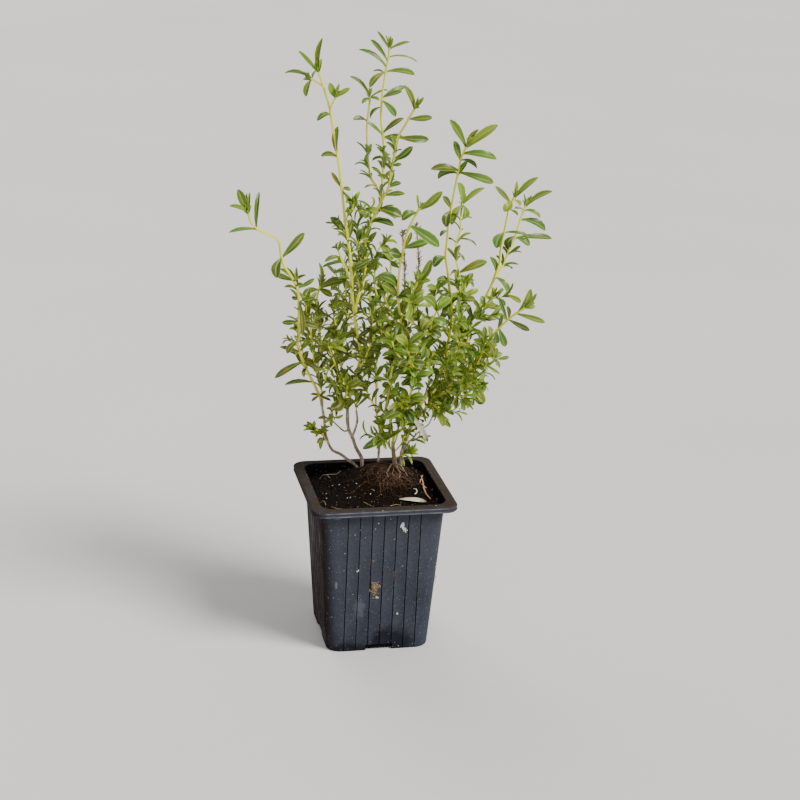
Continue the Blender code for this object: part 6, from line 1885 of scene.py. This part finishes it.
def add_camera(stage):
    """The camera, at its distance from the point it aims at."""
    back = Vector((math.sin(stage.yaw) * math.cos(stage.elevation),
                   -math.cos(stage.yaw) * math.cos(stage.elevation), math.sin(stage.elevation)))
    right = Vector((math.cos(stage.yaw), math.sin(stage.yaw), 0.0))
    up = back.cross(right)
    tilted = right * math.cos(stage.roll) + up * math.sin(stage.roll)
    above = up * math.cos(stage.roll) - right * math.sin(stage.roll)
    data = bpy.data.cameras.new("camera")
    data.lens = stage.lens
    data.sensor_width = SENSOR
    camera = bpy.data.objects.new("camera", data)
    turn = Matrix((tilted, above, back)).transposed().to_4x4()
    camera.matrix_world = Matrix.Translation(Vector(stage.aim) + back * stage.distance) @ turn
    bpy.context.scene.collection.objects.link(camera)
    bpy.context.scene.camera = camera


class SAVORY_OT_materials(bpy.types.Operator):
    """Make the shared effects, the Geometry Nodes trees and the materials"""
    bl_idname = "savory.make_materials"
    bl_label = "Materials"

    def execute(self, context):
        for make in (patches_group, specks_group, smear_group, stem_tree, leaves_tree,
                     scatter_tree, plastic_material, soil_material, leaf_material, stem_material,
                     withered_material, floor_material):
            make()
        plant = context.scene.savory_plant
        soil = context.scene.savory_soil
        bark_material("bark", plant.bark, LIGHT_BARK)
        bark_material("dead_stalk", plant.dead, LIGHT_STALK)
        plain_material("root_skin", soil.root, 0.7)
        plain_material("peat_crumb", toned(soil.peat, 1.6), 0.9)
        for name, (tone, roughness) in PLAIN.items():
            plain_material(name, tone, roughness)
        return {"FINISHED"}


class SAVORY_OT_pot(bpy.types.Operator):
    """Make the square nursery pot with its rim, grooves and drainage"""
    bl_idname = "savory.make_pot"
    bl_label = "Pot"

    def execute(self, context):
        pot = new_object("nursery_pot", *loft(pot_rings()),
                         materials=[bpy.data.materials["nursery_plastic"]])
        mark_trim(pot.data)
        cut(pot, four_sides(lambda turn: notch_boxes(turn, WALL, NOTCH_TALL + WALL)), "UNION")
        cut(pot, four_sides(lambda turn: notch_boxes(turn, 0.0, NOTCH_TALL)), "DIFFERENCE")
        cut(pot, four_sides(slot_boxes), "DIFFERENCE")
        finish_piece(pot, ["pot"], smooth=35)
        return {"FINISHED"}


class SAVORY_OT_soil(bpy.types.Operator):
    """Make the soil with its heap and clods"""
    bl_idname = "savory.make_soil"
    bl_label = "Soil"

    def execute(self, context):
        edge = context.scene.savory_soil.edge_height
        floor = WALL + GAP
        outline = square_ring(body_half(edge) - WALL - 0.05 * MM, BODY_CORNER - WALL, edge)
        rings = [square_ring(body_half(floor) - WALL - GAP, BODY_CORNER - WALL, floor)]
        middle = Vector((*HEAP_AT, 0.0))
        for step in range(SOIL_RINGS):
            ring = []
            for point in outline:
                at = point.lerp(middle, step / SOIL_RINGS)
                ring.append(Vector((at.x, at.y, crumbly_height(at.x, at.y))))
            rings.append(ring)
        top = Vector((*HEAP_AT, crumbly_height(*HEAP_AT)))
        soil = new_object("soil_heap", *loft(rings, top), materials=[bpy.data.materials["soil_peat"]])
        finish_piece(soil, ["soil"], smooth=60)
        return {"FINISHED"}


class SAVORY_OT_litter(bpy.types.Operator):
    """Strew crumbs, grains, fibres, roots and scraps over the soil"""
    bl_idname = "savory.make_litter"
    bl_label = "Crumbs, roots and litter"

    def execute(self, context):
        soil = context.scene.savory_soil
        skins = bpy.data.materials
        crumbs = bit_patterns("crumb")
        fibres = bit_patterns("fibre")
        for name, patterns, density, sizes, seed, skin in (
                ("peat_crumbs", crumbs, soil.crumbs, (0.5, 2.0), 3, "peat_crumb"),
                ("pale_grains", crumbs, soil.grains, (0.2, 0.6), 5, "pale_grain"),
                ("peat_fibres", fibres, soil.fibres, (1.5, 4.5), 8, "root_skin")):
            made = soil_patch(name)
            run_tree(made, "Bits on a surface", Patterns=patterns, Density=float(density),
                     Smallest=sizes[0] * MM, Largest=sizes[1] * MM, Seed=seed, Skin=skins[skin])
            finish_piece(made)
        remove_patterns(crumbs)
        remove_patterns(fibres)
        rootlets = grow_paths("heap_rootlets", heap_rootlets(), skins["root_skin"], 4, 0.0)
        finish_piece(rootlets)
        for name, skin, scraps in SCRAPS:
            paths = [[(on_soil(x, y, lift), radius * MM, 0.5) for x, y, lift in route]
                     for radius, route in scraps]
            finish_piece(grow_paths(name, paths, skins[skin], 5, 0.1))
        return {"FINISHED"}


class SAVORY_OT_wood(bpy.types.Operator):
    """Make the woody stems that stand in the soil"""
    bl_idname = "savory.make_wood"
    bl_label = "Woody stems"

    def execute(self, context):
        skins = bpy.data.materials
        for node, names in plans_of("wood").items():
            parts = []
            for name in names:
                root = name.startswith("root")
                skin = "pale_root" if root or node == "wood_clump" else "bark"
                parts.append(grow_paths(name + "_skin", PLANT[name]["paths"], skins[skin], 9, 0.0))
            finish_piece(join("grown_" + node, parts), [node], smooth=60)
        return {"FINISHED"}


class SAVORY_OT_left_shoots(bpy.types.Operator):
    """Grow the shoots on the left"""
    bl_idname = "savory.make_left_shoots"
    bl_label = "Left shoots"

    def execute(self, context):
        grow_shoots("left")
        return {"FINISHED"}


class SAVORY_OT_centre_shoots(bpy.types.Operator):
    """Grow the shoots in the middle"""
    bl_idname = "savory.make_centre_shoots"
    bl_label = "Middle shoots"

    def execute(self, context):
        grow_shoots("centre")
        return {"FINISHED"}


class SAVORY_OT_right_shoots(bpy.types.Operator):
    """Grow the shoots on the right"""
    bl_idname = "savory.make_right_shoots"
    bl_label = "Right shoots"

    def execute(self, context):
        grow_shoots("right")
        return {"FINISHED"}


class SAVORY_OT_dry_spikes(bpy.types.Operator):
    """Make last year's dry flower spikes"""
    bl_idname = "savory.make_dry_spikes"
    bl_label = "Dry spikes"

    def execute(self, context):
        grow_shoots("dry", "dead_stalk", "dead_stalk")
        return {"FINISHED"}


class SAVORY_OT_dead_leaves(bpy.types.Operator):
    """Make the withered leaf that hangs in front and the leaf and twig that fell on the soil"""
    bl_idname = "savory.make_dead_leaves"
    bl_label = "Dead leaves and twig"

    def execute(self, context):
        skins = bpy.data.materials
        patterns = leaf_patterns()
        joint = STEMS["shoot_front"].route[5]
        tip = Vector((32, -7, 128)) * MM
        base = joint + (tip - joint).normalized() * 0.6 * MM
        hanging = Leaf(base, tip, Vector((0.5, -1.0, 0.2)), 3.6 * MM, ARCHED, 1.0)
        fallen = Leaf(on_soil(13.5, -14.4, 1.2), on_soil(29.8, -21.1, 1.2), Vector((0, -0.7, 0.7)),
                      3.4 * MM, FLAT, 1.0)
        for node, leaf in (("withered_leaf", hanging), ("fallen_leaf", fallen)):
            made = grow_leaves("grown_" + node, [leaf], skins["withered_leaf_skin"], patterns)
            finish_piece(made, [node], smooth=50)
        remove_patterns(patterns)
        paths = [[(on_soil(*point), radius * MM, 0.5) for point, radius in zip(route, radii)]
                 for radii, route in FALLEN_TWIG]
        twig = grow_paths("grown_fallen_twig", paths, skins["pink_twig"], 7, 0.0)
        finish_piece(twig, ["fallen_twig"])
        return {"FINISHED"}


class SAVORY_OT_dirt(bpy.types.Operator):
    """Stick the crumbs of dried earth to the pot's front"""
    bl_idname = "savory.make_dirt"
    bl_label = "Dirt on the pot"

    def execute(self, context):
        skins = bpy.data.materials
        draw = random.Random("dirt")
        for name, skin, lumps in DIRT:
            parts = []
            for x, z, spread, tall, count, size in lumps:
                for _ in range(count):
                    parts.append(dirt_crumb(x + draw.gauss(0, spread), z + draw.gauss(0, tall),
                                            size * draw.uniform(0.6, 1.3), draw))
            points = [point for part in parts for point in part[0]]
            faces = []
            first = 0
            for part in parts:
                faces += [[first + corner for corner in face] for face in part[1]]
                first += len(part[0])
            made = new_object(name, points, faces, materials=[skins[skin]])
            finish_piece(made)
        return {"FINISHED"}


class SAVORY_OT_stage(bpy.types.Operator):
    """Make the floor, the lights and the camera"""
    bl_idname = "savory.make_stage"
    bl_label = "Stage"

    def execute(self, context):
        stage = context.scene.savory_stage
        reach = FLOOR_REACH
        floor = new_object("floor", [Vector((x, y, 0.0)) for x, y in
                                     ((-reach, -reach), (reach, -reach), (reach, reach),
                                      (-reach, reach))], [[0, 1, 2, 3]],
                           materials=[bpy.data.materials["stage_floor"]])
        world = bpy.data.worlds.new("sky")
        world.use_nodes = True
        shade = world.node_tree.nodes["Background"]
        shade.inputs["Color"].default_value = SKY
        shade.inputs["Strength"].default_value = stage.sky
        context.scene.world = world
        for name, setting, place, spread, color in LIGHTS:
            add_light(name, getattr(stage, setting), Vector(place), spread, color)
        add_camera(stage)
        return {"FINISHED"}


OPERATORS = (SAVORY_OT_materials, SAVORY_OT_stage, SAVORY_OT_pot, SAVORY_OT_soil,
             SAVORY_OT_litter, SAVORY_OT_wood, SAVORY_OT_left_shoots, SAVORY_OT_centre_shoots,
             SAVORY_OT_right_shoots, SAVORY_OT_dry_spikes, SAVORY_OT_dead_leaves,
             SAVORY_OT_dirt)


class SAVORY_PT_panel(bpy.types.Panel):
    """The pieces of the potted savory"""
    bl_idname = "SAVORY_PT_panel"
    bl_label = "Potted Savory"
    bl_space_type = "VIEW_3D"
    bl_region_type = "UI"
    bl_category = "Savory"

    def draw(self, context):
        for group in SETTINGS:
            for name in SETTINGS[group].__annotations__:
                self.layout.prop(getattr(context.scene, group), name)
        for operator in OPERATORS:
            self.layout.operator(operator.bl_idname)


def register():
    for each in (*SETTINGS.values(), *OPERATORS, SAVORY_PT_panel):
        bpy.utils.register_class(each)
    for name, group in SETTINGS.items():
        setattr(bpy.types.Scene, name, PointerProperty(type=group))


def unregister():
    for name in SETTINGS:
        delattr(bpy.types.Scene, name)
    for each in reversed((*SETTINGS.values(), *OPERATORS, SAVORY_PT_panel)):
        bpy.utils.unregister_class(each)


def main():
    register()
    for operator in OPERATORS:
        group, name = operator.bl_idname.split(".")
        getattr(getattr(bpy.ops, group), name)()


if __name__ == "__main__":
    main()
